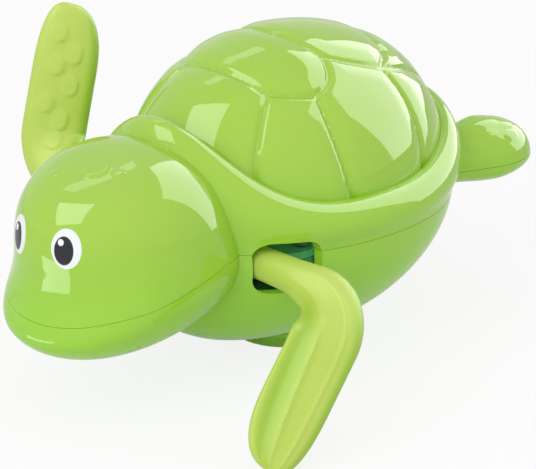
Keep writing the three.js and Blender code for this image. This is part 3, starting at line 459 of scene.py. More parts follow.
def printed_eye(eyes, colours):
    """White oval with a dark pupil and a light dot, drawn on the decal's own map in metres"""

    def paint(tree):
        place = tree.add("ShaderNodeUVMap", {"uv_map": "eye"})
        parts = tree.add("ShaderNodeSeparateXYZ", values={0: place})
        across, up = parts, parts.out("Y")

        def inside(centre, half, softness=0.04):
            out = (((across - centre[0]) / half[0]) ** 2 + ((up - centre[1]) / half[1]) ** 2) ** 0.5
            return tree.step(out, 1 - softness, 1 + softness, 1.0, 0.0)

        pupil = inside(eyes.pupil_place, eyes.pupil)
        glint = inside(eyes.glint_place, (eyes.glint, eyes.glint), 0.12)
        cloud = tree.add("ShaderNodeTexNoise", values={"Vector": place, "Scale": PRINT_SCALE})
        white = tree.blend(cloud, rgba(0.96 * part for part in colours.white), rgba(colours.white))
        dark = tree.blend(cloud, rgba(0.8 * part for part in colours.charcoal), rgba(colours.charcoal))
        print_tone = tree.blend(glint, tree.blend(pupil, white, dark), rgba((0.95, 0.95, 0.95)))
        values = {"Base Color": print_tone, "Roughness": 0.1 + 0.05 * cloud, "Specular IOR Level": 0.15}
        return tree.add("ShaderNodeBsdfPrincipled", values=values)

    return paint


def plainly_seen(tree, mirrored=1.0):
    """1 for what the camera sees, and a share for what it sees in a reflection"""
    path = tree.add("ShaderNodeLightPath", output="Is Camera Ray")
    return path + mirrored * (path.out("Is Glossy Ray") + path.out("Is Transmission Ray"))


def studio_floor(tone, glow):
    """Pale floor that shows as white and keeps part of the toy's shadow"""

    def paint(tree):
        place = tree.add("ShaderNodeTexCoord", output="Object")
        cloud = tree.add("ShaderNodeTexNoise", values={"Vector": place, "Scale": FLOOR_SCALE})
        shade = tree.blend(cloud, rgba(tone), rgba(0.99 * part for part in tone))
        seen = plainly_seen(tree, FLOOR_MIRRORED)
        matt = tree.add("ShaderNodeBsdfDiffuse", values={"Color": shade})
        white = tree.add("ShaderNodeEmission", values={"Strength": 1.0})
        return tree.add("ShaderNodeMixShader", values={0: seen * glow, 1: matt, 2: white})

    return paint


def lime_gloss(colours):
    # Painted shade: the body's colour goes from deep at the belly to light on the back
    return finish("gloss_lime", moulded(colours.lime, colours.lime_deep_and_shade, 0.05, 0.008, 0.046))


def yellow_green_satin(colours):
    # The painted shade in the channel and at the edges comes from the hollow attribute
    paint = moulded(colours.flipper, colours.flipper_deep, 0.42, hollow=colours.flipper_painted_shade)
    return finish("satin_yellow_green", paint)


def natural_plastic(colours):
    return finish("natural_plastic", moulded(colours.natural, 0.93 * Vector(colours.natural), 0.42))


def gearbox_plastic(colours):
    # Dark teal-green, partly painted shade for the inside seen through the flipper openings
    return finish("matt_gearbox", moulded(colours.gearbox, 0.85 * Vector(colours.gearbox), 0.5))


def plain_steel(colours):
    return finish("plain_steel", drawn_steel(colours.steel))


# Meshes

def signed_power(value, power):
    return np.sign(value) * np.abs(value) ** power


def smoothstep(value, low, high):
    part = np.clip((value - low) / (high - low), 0.0, 1.0)
    return part * part * (3.0 - 2.0 * part)


def bell(value):
    return np.exp(-(value ** 2))


def mesh_of(name, points, faces, edges=()):
    mesh = bpy.data.meshes.new(name)
    mesh.from_pydata(np.asarray(points).tolist(), list(edges), faces)
    return mesh


def closed_skin(name, rings):
    """A closed mesh over equal rings of points, with a fan over either end and its faces outwards"""
    rings = np.asarray(rings, float)
    steps, count = rings.shape[:2]
    ends = rings[[0, -1]].mean(axis=1)
    points = np.concatenate([rings.reshape(-1, 3), ends])
    index = np.arange(steps * count).reshape(steps, count)
    after = np.roll(index, -1, axis=1)
    sides = np.stack([index[:-1], after[:-1], after[1:], index[1:]], -1).reshape(-1, 4)
    foot = np.stack([np.full(count, steps * count), after[0], index[0]], -1)
    top = np.stack([np.full(count, steps * count + 1), index[-1], after[-1]], -1)
    triangles = np.concatenate([sides[:, [0, 1, 2]], sides[:, [0, 2, 3]], foot, top])
    first, second, third = (points[triangles[:, k]] for k in range(3))
    volume = np.einsum("ij,ij->i", first, np.cross(second, third)).sum()
    faces = sides.tolist() + foot.tolist() + top.tolist()
    if volume < 0:
        faces = [face[::-1] for face in faces]
    return mesh_of(name, points, faces)


def rod(radius, bottom, top, place=(0.0, 0.0), count=48):
    """An upright cylinder"""
    turn = 2 * np.pi * np.arange(count) / count
    ring = np.stack([place[0] + radius * np.cos(turn), place[1] + radius * np.sin(turn), 0 * turn], -1)
    return closed_skin("rod", [ring + (0, 0, bottom), ring + (0, 0, top)])


def lathe(profile, count=192):
    """A solid of revolution about the upright axis, from radius and height pairs"""
    turn = 2 * np.pi * np.arange(count) / count
    rings = [np.stack([r * np.cos(turn), r * np.sin(turn), np.full(count, z)], -1) for r, z in profile]
    return closed_skin("lathe", rings)


def prism(outline, start, end):
    """An outline in the plane across the shaft, run along the shaft"""
    outline = np.asarray(outline, float)
    rings = [np.column_stack([np.full(len(outline), x), outline]) for x in (start, end)]
    return closed_skin("prism", rings)


def object_of(data):
    piece = bpy.data.objects.new(data.name, data)
    bpy.context.scene.collection.objects.link(piece)
    return piece


def plain_mesh(piece):
    """The piece's mesh with its modifiers applied. The piece itself is removed"""
    graph = bpy.context.evaluated_depsgraph_get()
    mesh = bpy.data.meshes.new_from_object(piece.evaluated_get(graph))
    bpy.data.objects.remove(piece)
    return mesh


def carved(mesh, *steps):
    """The mesh after a row of boolean steps, each an operation and the meshes that it takes"""
    piece = object_of(mesh)
    tools = []
    for operation, meshes in steps:
        for tool_mesh in meshes:
            tool = object_of(tool_mesh)
            modifier = piece.modifiers.new(operation.title(), "BOOLEAN")
            modifier.operation = operation
            modifier.solver = "MANIFOLD"
            modifier.object = tool
            tools.append(tool)
    result = plain_mesh(piece)
    for tool in tools:
        bpy.data.objects.remove(tool)
    if not len(result.polygons):
        raise RuntimeError(f"{mesh.name}: nothing is left after its boolean steps")
    return result


def dress(mesh, name, material, body, node=None, crease=32):
    """The mesh as a finished piece that rides on a body and may stand for a solid"""
    mesh.name = name
    mesh.materials.clear()
    mesh.materials.append(material)
    mesh.shade_smooth()
    mesh.set_sharp_from_angle(angle=math.radians(crease))
    piece = object_of(mesh)
    piece.name = name
    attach(piece, body)
    if node:
        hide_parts(node)
    return piece


# Node trees for what repeats or follows a surface

def geometry_group(name, inputs):
    """An empty geometry tree with named inputs, and the sockets' identifiers by name"""
    group = bpy.data.node_groups.new(name, "GeometryNodeTree")
    group.interface.new_socket("Geometry", in_out="OUTPUT", socket_type="NodeSocketGeometry")
    known = {}
    for label, kind in inputs.items():
        known[label] = group.interface.new_socket(label, in_out="INPUT", socket_type=kind).identifier
    return group, known


def finish_group(tree, given, shape):
    """Ends a geometry tree: its instances are made real and get their material"""
    real = tree.add("GeometryNodeRealizeInstances", values={0: shape})
    painted = tree.add("GeometryNodeSetMaterial", values={0: real, "Material": given.out("Material")})
    tree.add("NodeGroupOutput", values={0: painted})


def pressed_group():
    """Presses lines into a surface, or raises them: a narrow groove and a wide pillow beside it.
    A lean raises the side that it points to and lowers the other"""
    group, known = geometry_group("pressed_lines", {
        "Geometry": "NodeSocketGeometry",
        "Lines": "NodeSocketObject",
        "Reach": "NodeSocketFloat",
        "Height": "NodeSocketFloat",
        "Pillow Reach": "NodeSocketFloat",
        "Pillow": "NodeSocketFloat",
        "Plateau": "NodeSocketFloat",
        "Lean": "NodeSocketVector",
        "Material": "NodeSocketMaterial",
    })
    tree = Tree(group)
    given = tree.add("NodeGroupInput", output="Geometry")
    lines = tree.add("GeometryNodeObjectInfo", values={"Object": given.out("Lines")}, output="Geometry")
    foot = tree.add("GeometryNodeProximity", {"target_element": "EDGES"}, {0: lines}, output="Position")
    near = foot.out("Distance")
    here = tree.add("GeometryNodeInputPosition")
    aside = tree.add("ShaderNodeVectorMath", {"operation": "SUBTRACT"}, {0: here, 1: foot})
    both = {0: aside, 1: given.out("Lean")}
    ahead = tree.add("ShaderNodeVectorMath", {"operation": "DOT_PRODUCT"}, both, "Value")
    tilt = 1 + ahead / given.out("Reach")
    level = given.out("Reach") * given.out("Plateau")
    groove = tree.step(near, level, given.out("Reach"), 1.0, 0.0) * given.out("Height") * tilt
    pillow = tree.step(near, 0.0, given.out("Pillow Reach"), 1.0, 0.0) * given.out("Pillow")
    outward = tree.add("GeometryNodeInputNormal")
    scaled = {0: outward, "Scale": groove + pillow}
    offset = tree.add("ShaderNodeVectorMath", {"operation": "SCALE"}, scaled)
    moved = tree.add("GeometryNodeSetPosition", values={"Geometry": given, "Offset": offset})
    finish_group(tree, given, moved)
    return group, known


def flute_group():
    """Upright rods at even steps round a circle, the first half a step from the side"""
    group, known = geometry_group("ring_of_flutes", {
        "Count": "NodeSocketInt",
        "Ring Radius": "NodeSocketFloat",
        "Flute Radius": "NodeSocketFloat",
        "Length": "NodeSocketFloat",
        "Material": "NodeSocketMaterial",
    })
    tree = Tree(group)
    given = tree.add("NodeGroupInput", output="Count")
    ring_sizes = {"Vertices": given, "Radius": given.out("Ring Radius")}
    circle = tree.add("GeometryNodeMeshCircle", values=ring_sizes)
    half_step = tree.add("ShaderNodeCombineXYZ", values={"Z": math.pi / given})
    ring = tree.add("GeometryNodeTransform", values={0: circle, "Rotation": half_step})
    sizes = {"Vertices": 32, "Radius": given.out("Flute Radius"), "Depth": given.out("Length")}
    flute = tree.add("GeometryNodeMeshCylinder", values=sizes)
    placed = tree.add("GeometryNodeInstanceOnPoints", values={"Points": ring, "Instance": flute})
    finish_group(tree, given, placed)
    return group, known


def spiral_group():
    """A flat strip wound outwards at a steady rate"""
    group, known = geometry_group("wound_strip", {
        "Turns": "NodeSocketFloat",
        "Inner Radius": "NodeSocketFloat",
        "Outer Radius": "NodeSocketFloat",
        "Thickness": "NodeSocketFloat",
        "Height": "NodeSocketFloat",
        "Middle": "NodeSocketVector",
        "Material": "NodeSocketMaterial",
    })
    tree = Tree(group)
    given = tree.add("NodeGroupInput", output="Turns")
    spiral = tree.add("GeometryNodeCurveSpiral", values={
        "Resolution": 64,
        "Rotations": given,
        "Start Radius": given.out("Inner Radius"),
        "End Radius": given.out("Outer Radius"),
        "Height": 0.0,
    })
    level = tree.add("GeometryNodeSetCurveNormal", {"mode": "Z_UP"}, {0: spiral})
    section = tree.add("GeometryNodeCurvePrimitiveQuadrilateral", values={
        "Width": given.out("Thickness"),
        "Height": given.out("Height"),
    })
    swept = {0: level, "Profile Curve": section, "Fill Caps": True}
    strip = tree.add("GeometryNodeCurveToMesh", values=swept)
    placed = tree.add("GeometryNodeTransform", values={0: strip, "Translation": given.out("Middle")})
    finish_group(tree, given, placed)
    return group, known


def grown(mesh, make_group, values):
    """The mesh after a geometry tree with these input values"""
    piece = object_of(mesh)
    group, known = make_group()
    modifier = piece.modifiers.new(group.name, "NODES")
    modifier.node_group = group
    for label, value in values.items():
        modifier[known[label]] = value
    result = plain_mesh(piece)
    if not len(result.polygons):
        raise RuntimeError(f"{mesh.name}: its geometry tree made nothing")
    return result


def pressed(mesh, lines, material, reach, height,
            pillow_reach=None, pillow=0.0, plateau=0.0, lean=(0, 0, 0)):
    """The mesh with lines pressed in or raised. A line is a row of points"""
    points, edges = [], []
    for line in lines:
        edges += [(len(points) + i, len(points) + i + 1) for i in range(len(line) - 1)]
        points += list(line)
    guide = object_of(mesh_of("lines", points, [], edges))
    values = {
        "Lines": guide,
        "Reach": reach,
        "Height": height,
        "Pillow Reach": pillow_reach or reach,
        "Pillow": pillow,
        "Plateau": plateau,
        "Lean": [float(part) for part in lean],
        "Material": material,
    }
    result = grown(mesh, pressed_group, values)
    bpy.data.objects.remove(guide)
    return result


def raised(mesh, lines, material, scales, reach, lean=(0, 0, 0)):
    """The mesh with a level scale standing along each line"""
    return pressed(mesh, lines, material, reach, scales.rise, plateau=scales.plateau, lean=lean)


# Forms of the body. Their rings end just short of the pole, at these angles in degrees

DOME_END, BELLY_END, HEAD_END = 89, 88, 88.5

# Along a hind flipper: where it widens as shares of its length, and how its end is rounded
HIND_SWELL, HIND_END_POWER, HIND_END_LEAST = (0.2, 0.7), 2.4, 0.04


def around(count):
    return 2 * np.pi * np.arange(count) / count


def oval(turn, size, middle, height, power):
    """Rings about the midline with their own reach to the side, the front and the rear"""
    size = np.atleast_2d(np.asarray(size, float))
    across, along = signed_power(np.cos(turn), power), signed_power(np.sin(turn), power)
    reach_along = np.where(along < 0, size[:, 1:2], size[:, 2:3])
    x = size[:, 0:1] * across
    y = np.reshape(middle, (-1, 1)) + reach_along * along
    return np.stack(np.broadcast_arrays(x, y, height), -1)


def seam_height(body):
    return SHAFT.z + body.seam


def rising(turn, level, rise):
    """Height round the body: level at the sides, rising to the rear and more steeply to the collar"""
    along = np.sin(turn)
    lift = np.where(along < 0, (rise[1] - rise[0]) * along ** 4, (rise[2] - rise[0]) * along ** 2)
    return level + rise[0] + lift


def trunk(body, inset=0.0, count=256, steps=36):
    """Trunk from under the seam over the rim to the roll that meets the dome"""
    turn = around(count)
    seam = seam_height(body)
    girth = np.array(body.girth) - inset
    rim = np.array(body.rim) - inset
    crest = np.array(body.crest) - 2 * inset
    drop = body.roll + inset if inset else 0.0
    rim_height = rising(turn, seam, body.rim_rise)
    crest_height = rising(turn, seam - drop, body.crest_rise)
    power = body.plan_power
    rings = [oval(turn, girth, 0.0, seam - body.belly_depth / 3, power)]
    part = np.linspace(0, 1, 8)[:, None]
    rings.append(oval(turn, girth + (rim - girth) * smoothstep(part, 0, 1), 0.0,
                      seam + (rim_height - seam) * part, power))
    quarter = np.linspace(0, np.pi / 2, steps)[1:, None]
    rings.append(oval(turn, crest + (rim - crest) * np.cos(quarter), 0.0,
                      rim_height + (crest_height - rim_height) * np.sin(quarter), power))
    if not inset:
        roll = np.linspace(0, np.pi / 2, 14)[1:, None]
        rings.append(oval(turn, crest - body.roll * np.sin(roll), 0.0,
                          crest_height - body.roll * (1 - np.cos(roll)), power))
    return closed_skin("trunk", np.concatenate(rings))


def dome_points(body, azimuth, elevation, inset=0.0):
    """Points of the dome from azimuth, counted from the left side to the rear, and elevation"""
    side, front, rear = (value - inset for value in body.dome)
    tall = body.dome_height - inset
    across, along = np.cos(azimuth), np.sin(azimuth)
    low, high = np.cos(elevation), np.sin(elevation)
    x = side * across * low ** body.dome_curve[0]
    reach_along = np.where(along < 0, front * low ** body.dome_curve[1], rear * low ** body.dome_curve[2])
    y = body.dome_back + reach_along * along
    z = seam_height(body) + body.dome_foot + tall * high
    return np.stack(np.broadcast_arrays(x, y, z), -1)


def dome(body, inset=0.0, count=360, steps=112):
    elevation = np.radians(np.linspace(0, DOME_END, steps))[:, None]
    rings = dome_points(body, around(count)[None, :], elevation, inset)
    skirt = rings[:1].copy()
    skirt[..., 2] = seam_height(body) - body.wall / 2
    return closed_skin("dome", np.concatenate([skirt, rings]))


def belly(body, inset=0.0, count=240, steps=64):
    turn = around(count)
    sink = np.radians(np.linspace(BELLY_END, 0, steps))[:, None]
    depth = body.belly_depth - inset
    size = (np.array(body.girth) - inset) * np.cos(sink) ** np.array(body.belly_curve)
    seam = seam_height(body)
    low = np.sin(sink)
    rings = oval(turn, size, -body.belly_forward * low, seam - depth * low, body.plan_power)
    collar = rings[-1:].copy()
    collar[..., 2] = seam + body.dome_foot
    return closed_skin("belly", np.concatenate([rings, collar]))


def head(settings, inset=0.0, count=176, steps=130):
    """Head with its swelling muzzle, nodding about the body's width"""
    form, body = settings.head, settings.body
    shrink = 1 - inset / form.size[0]
    part = np.linspace(-1, 1, steps)
    elevation = np.radians(HEAD_END) * (0.5 * part + 0.5 * np.sin(np.pi / 2 * part))[:, None]
    low, high = np.cos(elevation), np.sin(elevation)
    curve = np.where(high > 0, np.array(form.crown_curve), np.array(form.jaw_curve))
    above = elevation - form.muzzle_tilt
    swell = bell(above / np.where(above > 0, form.muzzle_above, form.muzzle_below))
    size = shrink * low ** curve * (np.array(form.size) + np.array(form.muzzle) * swell)
    tall = shrink * np.where(high > 0, form.crown_height, form.jaw_depth) * high
    forward = np.where(high > 0, form.crown_forward * high ** 2, 0.0)
    rings = oval(around(count), size, -forward, tall, body.plan_power)
    nod = np.array(Matrix.Rotation(form.pitch, 3, "X"))
    return closed_skin("head", rings @ nod.T + (0.0, form.place, seam_height(body) + form.rise))


def hind_place(settings, side, part, turn, inset=0.0):
    """Points of a hind flipper from the share of its length and the turn about its middle line"""
    form = settings.hind
    end = np.clip((part - 1 + form.rounding) / form.rounding, 0, 1)
    root = form.root_share + (1 - form.root_share) * smoothstep(part, *HIND_SWELL)
    rounded = np.maximum(HIND_END_LEAST, np.sqrt(1 - end ** HIND_END_POWER))
    taper = root * rounded * (1 - inset / form.below)
    x = form.root[0] + (form.tip[0] - form.root[0]) * part + form.half_width * taper * np.cos(turn)
    y = form.root[1] + (form.tip[1] - inset - form.root[1]) * part
    tall = np.where(np.sin(turn) > 0, form.above, form.below)
    z = seam_height(settings.body) + tall * taper * np.sin(turn)
    return np.stack(np.broadcast_arrays(side * x, y, z), -1)


def hind_flipper(settings, side, inset=0.0, count=96, steps=80):
    """A short fin along a straight middle line, fuller above the seam than below"""
    part = 1 - (1 - np.linspace(0, 1, steps)[:, None]) ** 2
    return closed_skin("hind_flipper", hind_place(settings, side, part, around(count), inset))


# Scutes: corners of the grooves as azimuth and elevation on the dome, in degrees
SHOULDER, FLANK, FLANK_BOW, WAIST = (-51, 51), (-22, 49), (-10, 55.5), (-1, 67)
HIP, RUMP, TAIL = (29, 51), (52, 54), (59, 35)
SHOULDER_END, FLANK_END, HIP_END, TAIL_END = (-52, 14), (-13, 4), (22, 8), (54, 11)
FRONT_MIDDLE, WAIST_MIDDLE, REAR_MIDDLE = (-90, 58.5), (-90, 86), (90, 60)
SIDE_GROOVES = (
    (SHOULDER, FLANK),
    (FLANK, FLANK_BOW, WAIST),
    (WAIST, HIP),
    (HIP, RUMP),
    (SHOULDER, SHOULDER_END),
    (FLANK, FLANK_END),
    (HIP, HIP_END),
    (HIP, TAIL, TAIL_END),
)
CROSS_GROOVES = ((SHOULDER, FRONT_MIDDLE), (WAIST, WAIST_MIDDLE), (RUMP, REAR_MIDDLE))


def smooth_line(points, steps=16):
    """A smooth row of points through the given ones"""
    points = np.asarray(points, float)
    padded = np.concatenate([2 * points[:1] - points[1:2], points, 2 * points[-1:] - points[-2:-1]])
    rows = []
    for i in range(1, len(padded) - 2):
        before, start, end, after = padded[i - 1:i + 3]
        part = np.linspace(0, 1, steps, endpoint=False)[:, None]
        rows.append(0.5 * (2 * start + (end - before) * part
                           + (2 * before - 5 * start + 4 * end - after) * part ** 2
                           + (3 * start - before - 3 * end + after) * part ** 3))
    return np.concatenate([*rows, points[-1:]])


def scute_lines(body):
    """Every groove of the back as a row of points on the dome"""
    lines = []
    for stops in SIDE_GROOVES:
        turned = np.radians(smooth_line(stops))
        row = dome_points(body, turned[:, 0], turned[:, 1])
        lines += [row, row * (-1, 1, 1)]
    for corner, middle in CROSS_GROOVES:
        at = dome_points(body, *np.radians(np.array([corner, middle])).T)
        lines.append(smooth_line([at[0], at[1], at[0] * (-1, 1, 1)]))
    return lines


def seam_block(settings, above):
    """All space on one side of the parting line, which falls along the mouth"""
    body, form = settings.body, settings.head
    far = 0.12
    seam = seam_height(body)
    gap = body.seam_line / 2 if above else -body.seam_line / 2
    fall = (far + form.neck_bend) * math.tan(form.pitch)
    outline = [
        (far, seam + gap), (form.neck_bend, seam + gap), (-far, seam - fall + gap),
        (-far, far if above else -far), (far, far if above else -far),
    ]
    return prism(outline, -far, far)


def stem_openings(body):
    """Rounded oblong holes in both flanks for the flippers' stems"""
    front, back, half, corner = 0.0035, 0.0072, 0.005, 0.0029
    inner, outer = 0.014, body.girth[0] + 0.007
    quarter = np.linspace(0, np.pi / 2, 12)
    outline = []
    corners = ((back, half, 0), (-front, half, 1), (-front, -half, 2), (back, -half, 3))
    for y, z, turns in corners:
        turn = quarter + turns * np.pi / 2
        outline.append(np.column_stack([
            SHAFT.y + y - math.copysign(corner, y) + corner * np.cos(turn),
            SHAFT.z + z - math.copysign(corner, z) + corner * np.sin(turn),
        ]))
    outline = np.concatenate(outline)
    return [prism(outline, inner, outer), prism(outline, -outer, -inner)]


def centre_of(node):
    low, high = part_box(node)
    return (low + high) / 2


SHELL_SCREWS = ("shell_screw_1", "shell_screw_2", "shell_screw_3")
MOTOR_SCREWS = ("motor_screw_1", "motor_screw_2")
SCREW_HOLE, SCREW_HEAD_HOLE, SCREW_SEAT_DEPTH = 0.0013, 0.0022, 0.0065
BACK_POST, BELLY_POST, MOTOR_POST, REAR_REST = 0.0029, 0.0039, 0.0026, (0.0, 0.0085)
OVERRUN = 0.001


def mouth_height(settings, y):
    """Height of the parting line at a place along the body"""
    form = settings.head
    return seam_height(settings.body) - max(0.0, form.neck_bend - y) * math.tan(form.pitch)


class TURTLE_OT_upper_shell(Operator):
    """Back with its scutes, rolled rim, collar, upper head and the tops of the hind flippers"""

    bl_idname = "turtle.upper_shell"
    bl_label = "Upper Shell"

    def execute(self, context):
        settings = context.scene.turtle
        body, scutes, scales = settings.body, settings.scutes, settings.scales
        material = lime_gloss(settings.colours)
        back = pressed(dome(body), scute_lines(body), material, scutes.reach, -scutes.depth,
                       scutes.pillow_reach, -scutes.pillow)
        crown = cheeked_head(settings, material)
        crown = raised(crown, dots(CROWN_SCALE), material, scales, scales.crown)
        crown = raised(crown, dots(CROWN_DOTS), material, scales, scales.crown / 2)
        fins = [
            raised(hind_flipper(settings, side), hind_scales(settings, side), material, scales, scales.hind)
            for side in SIDES
        ]
        outer = carved(trunk(body), ("UNION", [back, crown, *fins]))
        posts = [self.post(settings, screw, outer) for screw in SHELL_SCREWS]
        hollow = [trunk(body, body.wall, 96, 12), dome(body, body.wall, 96, 24),
                  head(settings, body.wall, 64, 32)]
        hollow += [hind_flipper(settings, side, body.wall, 24, 16) for side in SIDES]
        pilots = []
        for screw in SHELL_SCREWS:
            low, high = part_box(screw)
            pilots.append(rod(SCREW_HOLE, low.z, high.z + body.gap, centre_of(screw)[:2], 32))
        shell = carved(
            outer,
            ("DIFFERENCE", hollow),
            ("UNION", posts),
            ("INTERSECT", [seam_block(settings, True)]),
            ("DIFFERENCE", [*stem_openings(body), *pilots]),
        )
        dress(shell, "dressed_upper_shell", material, "housing", "upper_shell")
        return {"FINISHED"}

    @staticmethod
    def post(settings, screw, outer):
        """Upright post for a shell screw, ending in the wall over it"""
        body = settings.body
        place = centre_of(screw)
        foot = mouth_height(settings, place.y) + body.gap
        column = rod(BACK_POST, foot, seam_height(body) + body.dome_foot + body.dome_height, place[:2], 32)
        return carved(column, ("INTERSECT", [outer.copy()]))


class TURTLE_OT_lower_shell(Operator):
    """Belly, lower jaw, undersides of the hind flippers and the boss over the knob"""

    bl_idname = "turtle.lower_shell"
    bl_label = "Lower Shell"

    def execute(self, context):
        settings = context.scene.turtle
        body = settings.body
        material = lime_gloss(settings.colours)
        seam = seam_height(body)
        boss = rod(body.boss_radius, BOSS_BOTTOM, seam - body.belly_depth / 2, count=128)
        fins = [hind_flipper(settings, side) for side in SIDES]
        outer = carved(belly(body), ("UNION", [cheeked_head(settings, material), *fins, boss]))
        hollow = [belly(body, body.wall, 96, 24), head(settings, body.wall, 64, 32)]
        hollow += [hind_flipper(settings, side, body.wall, 24, 16) for side in SIDES]
        rest_top = BASE_BOTTOM - body.gap
        rests = [centre_of(screw)[:2] for screw in MOTOR_SCREWS] + [REAR_REST]
        columns = [rod(MOTOR_POST, BOSS_BOTTOM, rest_top, place, 32) for place in rests]
        cuts = []
        for screw in MOTOR_SCREWS:
            low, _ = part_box(screw)
            cuts.append(rod(SCREW_HOLE, low.z - body.gap, rest_top + body.wall, centre_of(screw)[:2], 32))
        for screw in SHELL_SCREWS:
            place = centre_of(screw)
            meet = mouth_height(settings, place.y)
            columns.append(rod(BELLY_POST, BOSS_BOTTOM, meet - body.gap, place[:2], 48))
            seat = meet - SCREW_SEAT_DEPTH
            cuts.append(rod(SCREW_HEAD_HOLE, -OVERRUN, seat, place[:2], 48))
            cuts.append(rod(SCREW_HOLE, seat - OVERRUN, meet + OVERRUN, place[:2], 32))
        columns = [carved(column, ("INTERSECT", [outer.copy()])) for column in columns]
        spindle = rod(settings.knob.socket_radius, -OVERRUN, seam, count=64)
        shell = carved(
            outer,
            ("DIFFERENCE", hollow),
            ("UNION", columns),
            ("INTERSECT", [seam_block(settings, False)]),
            ("DIFFERENCE", [*stem_openings(body), *cuts, spindle]),
        )
        dress(shell, "dressed_lower_shell", material, "housing", "lower_shell")
        return {"FINISHED"}


# Scales, and pads of the cheeks

CROWN_SCALE = ((0.0015, -0.0485, 0.0461),)
CROWN_DOTS = ((-0.0053, -0.052, 0.0446), (0.0062, -0.0474, 0.0463))
CHEEKS = ((0.0177, -0.0503, 0.0266), (-0.0177, -0.0503, 0.0266))

# Scales of a hind flipper: share of its length and turn about its middle line
HIND_SCALES = ((0.467, 41), (0.579, 50), (0.761, 62), (0.741, 43), (0.6, 105), (0.75, 120))


def dots(places):
    """A very short line at each place, for round forms"""
    half = 0.00005 * np.array([0.7, 0.7, 0.0])
    return [np.array([place - half, place + half]) for place in np.array(places)]


def cheeked_head(settings, material):
    """Head with a soft pad at each corner of the mouth"""
    form = settings.head
    return pressed(head(settings), dots(CHEEKS), material, form.cheek_reach, form.cheek)


def hind_scales(settings, side):
    """Ovals on the upper face of a hind flipper"""
    half = 0.03
    lines = []
    for along, degrees in HIND_SCALES:
        part = along + half * np.array([[-1.0], [1.0]])
        lines.append(hind_place(settings, side, part, np.radians([degrees]))[:, 0])
    return lines


# Rowing flippers

def flipper_to_body(side, phase):
    """Rotation from the flipper's own axes (out along the shaft, along the blade, off its face)"""
    c, s = math.cos(phase), math.sin(phase)
    return np.array([[side, 0, 0], [0, s, c], [0, c, -s]], float)


def knee_ends(form):
    """Distances along the flipper's middle line at which the knee starts and ends"""
    start = form.knee_place - STEM_START
    return start, start + form.knee_radius * form.knee_bend


def flipper_place(form, along, inward, off):
    """Points beside the middle line: towards the blade's inner edge and off its channelled face"""
    start, end = knee_ends(form)
    turn = np.clip((along - start) / form.knee_radius, 0, form.knee_bend)
    beyond = np.clip(along - end, 0, None)
    out = STEM_START + np.minimum(along, start) + form.knee_radius * np.sin(turn)
    out = out + beyond * np.cos(form.knee_bend)
    up = form.knee_radius * (1 - np.cos(turn)) + beyond * np.sin(form.knee_bend)
    twist = form.twist * smoothstep(along, start, end + form.twist_run)
    x = inward * np.cos(twist) - off * np.sin(twist)
    w = inward * np.sin(twist) + off * np.cos(twist)
    return np.stack(np.broadcast_arrays(out - np.sin(turn) * x, up + np.cos(turn) * x, w), -1)


# Where the knee is filled: past its start, and over what length
KNEE_FILL_PLACE, KNEE_FILL_SPREAD = 0.003, 0.008

# Relief of a blade's face in shares of its half width, from 1 at the inner edge
VALLEY, VALLEY_SHIFT, VALLEY_SPREAD = 0.74, 0.14, 0.2
RIDGE_BESIDE, RIDGE_SPREAD = 0.36, 0.07
OUTER_RIDGE, OUTER_RIDGE_SPREAD, OUTER_RIDGE_SHARE = -0.35, 0.09, 0.7
# Painted shade in the channel and at the blade's edges, in the same shares
SHADE_BESIDE, SHADE_SPREAD = 0.05, 0.26
OUTER_SHADE, BACK_SHADE = (0.55, 0.9), (0.7, 0.95)
TIP_STATIONS, TIP_END = 60, 0.985


def flipper_rings(form, side, count=144, stations=250):
    """Sections along stem, knee and blade, and how much painted shade each point gets. Across is 1 at the inner
    edge
    """
    knee_start, knee_end = knee_ends(form)
    total = knee_end + form.blade_length
    quarter = np.linspace(0, np.pi / 2 * TIP_END, TIP_STATIONS)
    tip = total - form.tip_rounding * (1 - np.sin(quarter))
    before = np.linspace(0, total - form.tip_rounding, stations - TIP_STATIONS, endpoint=False)
    along = np.concatenate([before, tip])[:, None]
    flat = smoothstep(along, knee_start - form.stem_flare, knee_end)
    end = np.clip(1 - (total - along) / form.tip_rounding, 0, None)
    round_off = np.clip(1 - end ** form.tip_fullness, 0, None) ** (1 / form.tip_fullness)
    power = 1 + (form.squareness - 1) * flat
    angles = side * around(count)
    across = signed_power(np.cos(angles), power)
    reach_across = np.where(across > 0, form.inner_reach, form.outer_reach)
    half_width = (form.stem_radius + (reach_across - form.stem_radius) * flat) * round_off
    filled = bell((along - knee_start - KNEE_FILL_PLACE) / KNEE_FILL_SPREAD)
    half_width = half_width + np.where(across > 0, form.knee_fill, 0.0) * filled
    half_thick = (form.stem_radius + (form.half_thickness - form.stem_radius) * flat) * np.sqrt(round_off)
    off = half_thick * signed_power(np.sin(angles), power)
    run = smoothstep(along, knee_start - form.stem_flare, knee_end + form.twist_run)
    face = np.where(np.sin(angles) > 0, 1.0, 0.0) * run * round_off
    valley = VALLEY - VALLEY_SHIFT * smoothstep(along, knee_end, total)
    off = off - form.channel * face * bell((across - valley) / VALLEY_SPREAD)
    ridges = bell((across - valley + RIDGE_BESIDE) / RIDGE_SPREAD)
    ridges = ridges + OUTER_RIDGE_SHARE * bell((across - OUTER_RIDGE) / OUTER_RIDGE_SPREAD)
    off = off + form.ridge * face * ridges
    back = np.where(np.sin(angles) < 0, 1.0, 0.0) * run
    # Painted shade: deeper colour in the channel, at the outer edge of the channelled face and at the inner edge
    # of the other face
    hollow = bell((across - valley + SHADE_BESIDE) / SHADE_SPREAD)
    painted_shade = face * (hollow + smoothstep(-across, *OUTER_SHADE)) + back * smoothstep(across, *BACK_SHADE)
    return flipper_place(form, along, half_width * across, off), np.clip(painted_shade, 0.0, 1.0)


# Step towards the root and the inner edge along which the scales lean
LEAN_STEP = (0.0006, 0.0008)

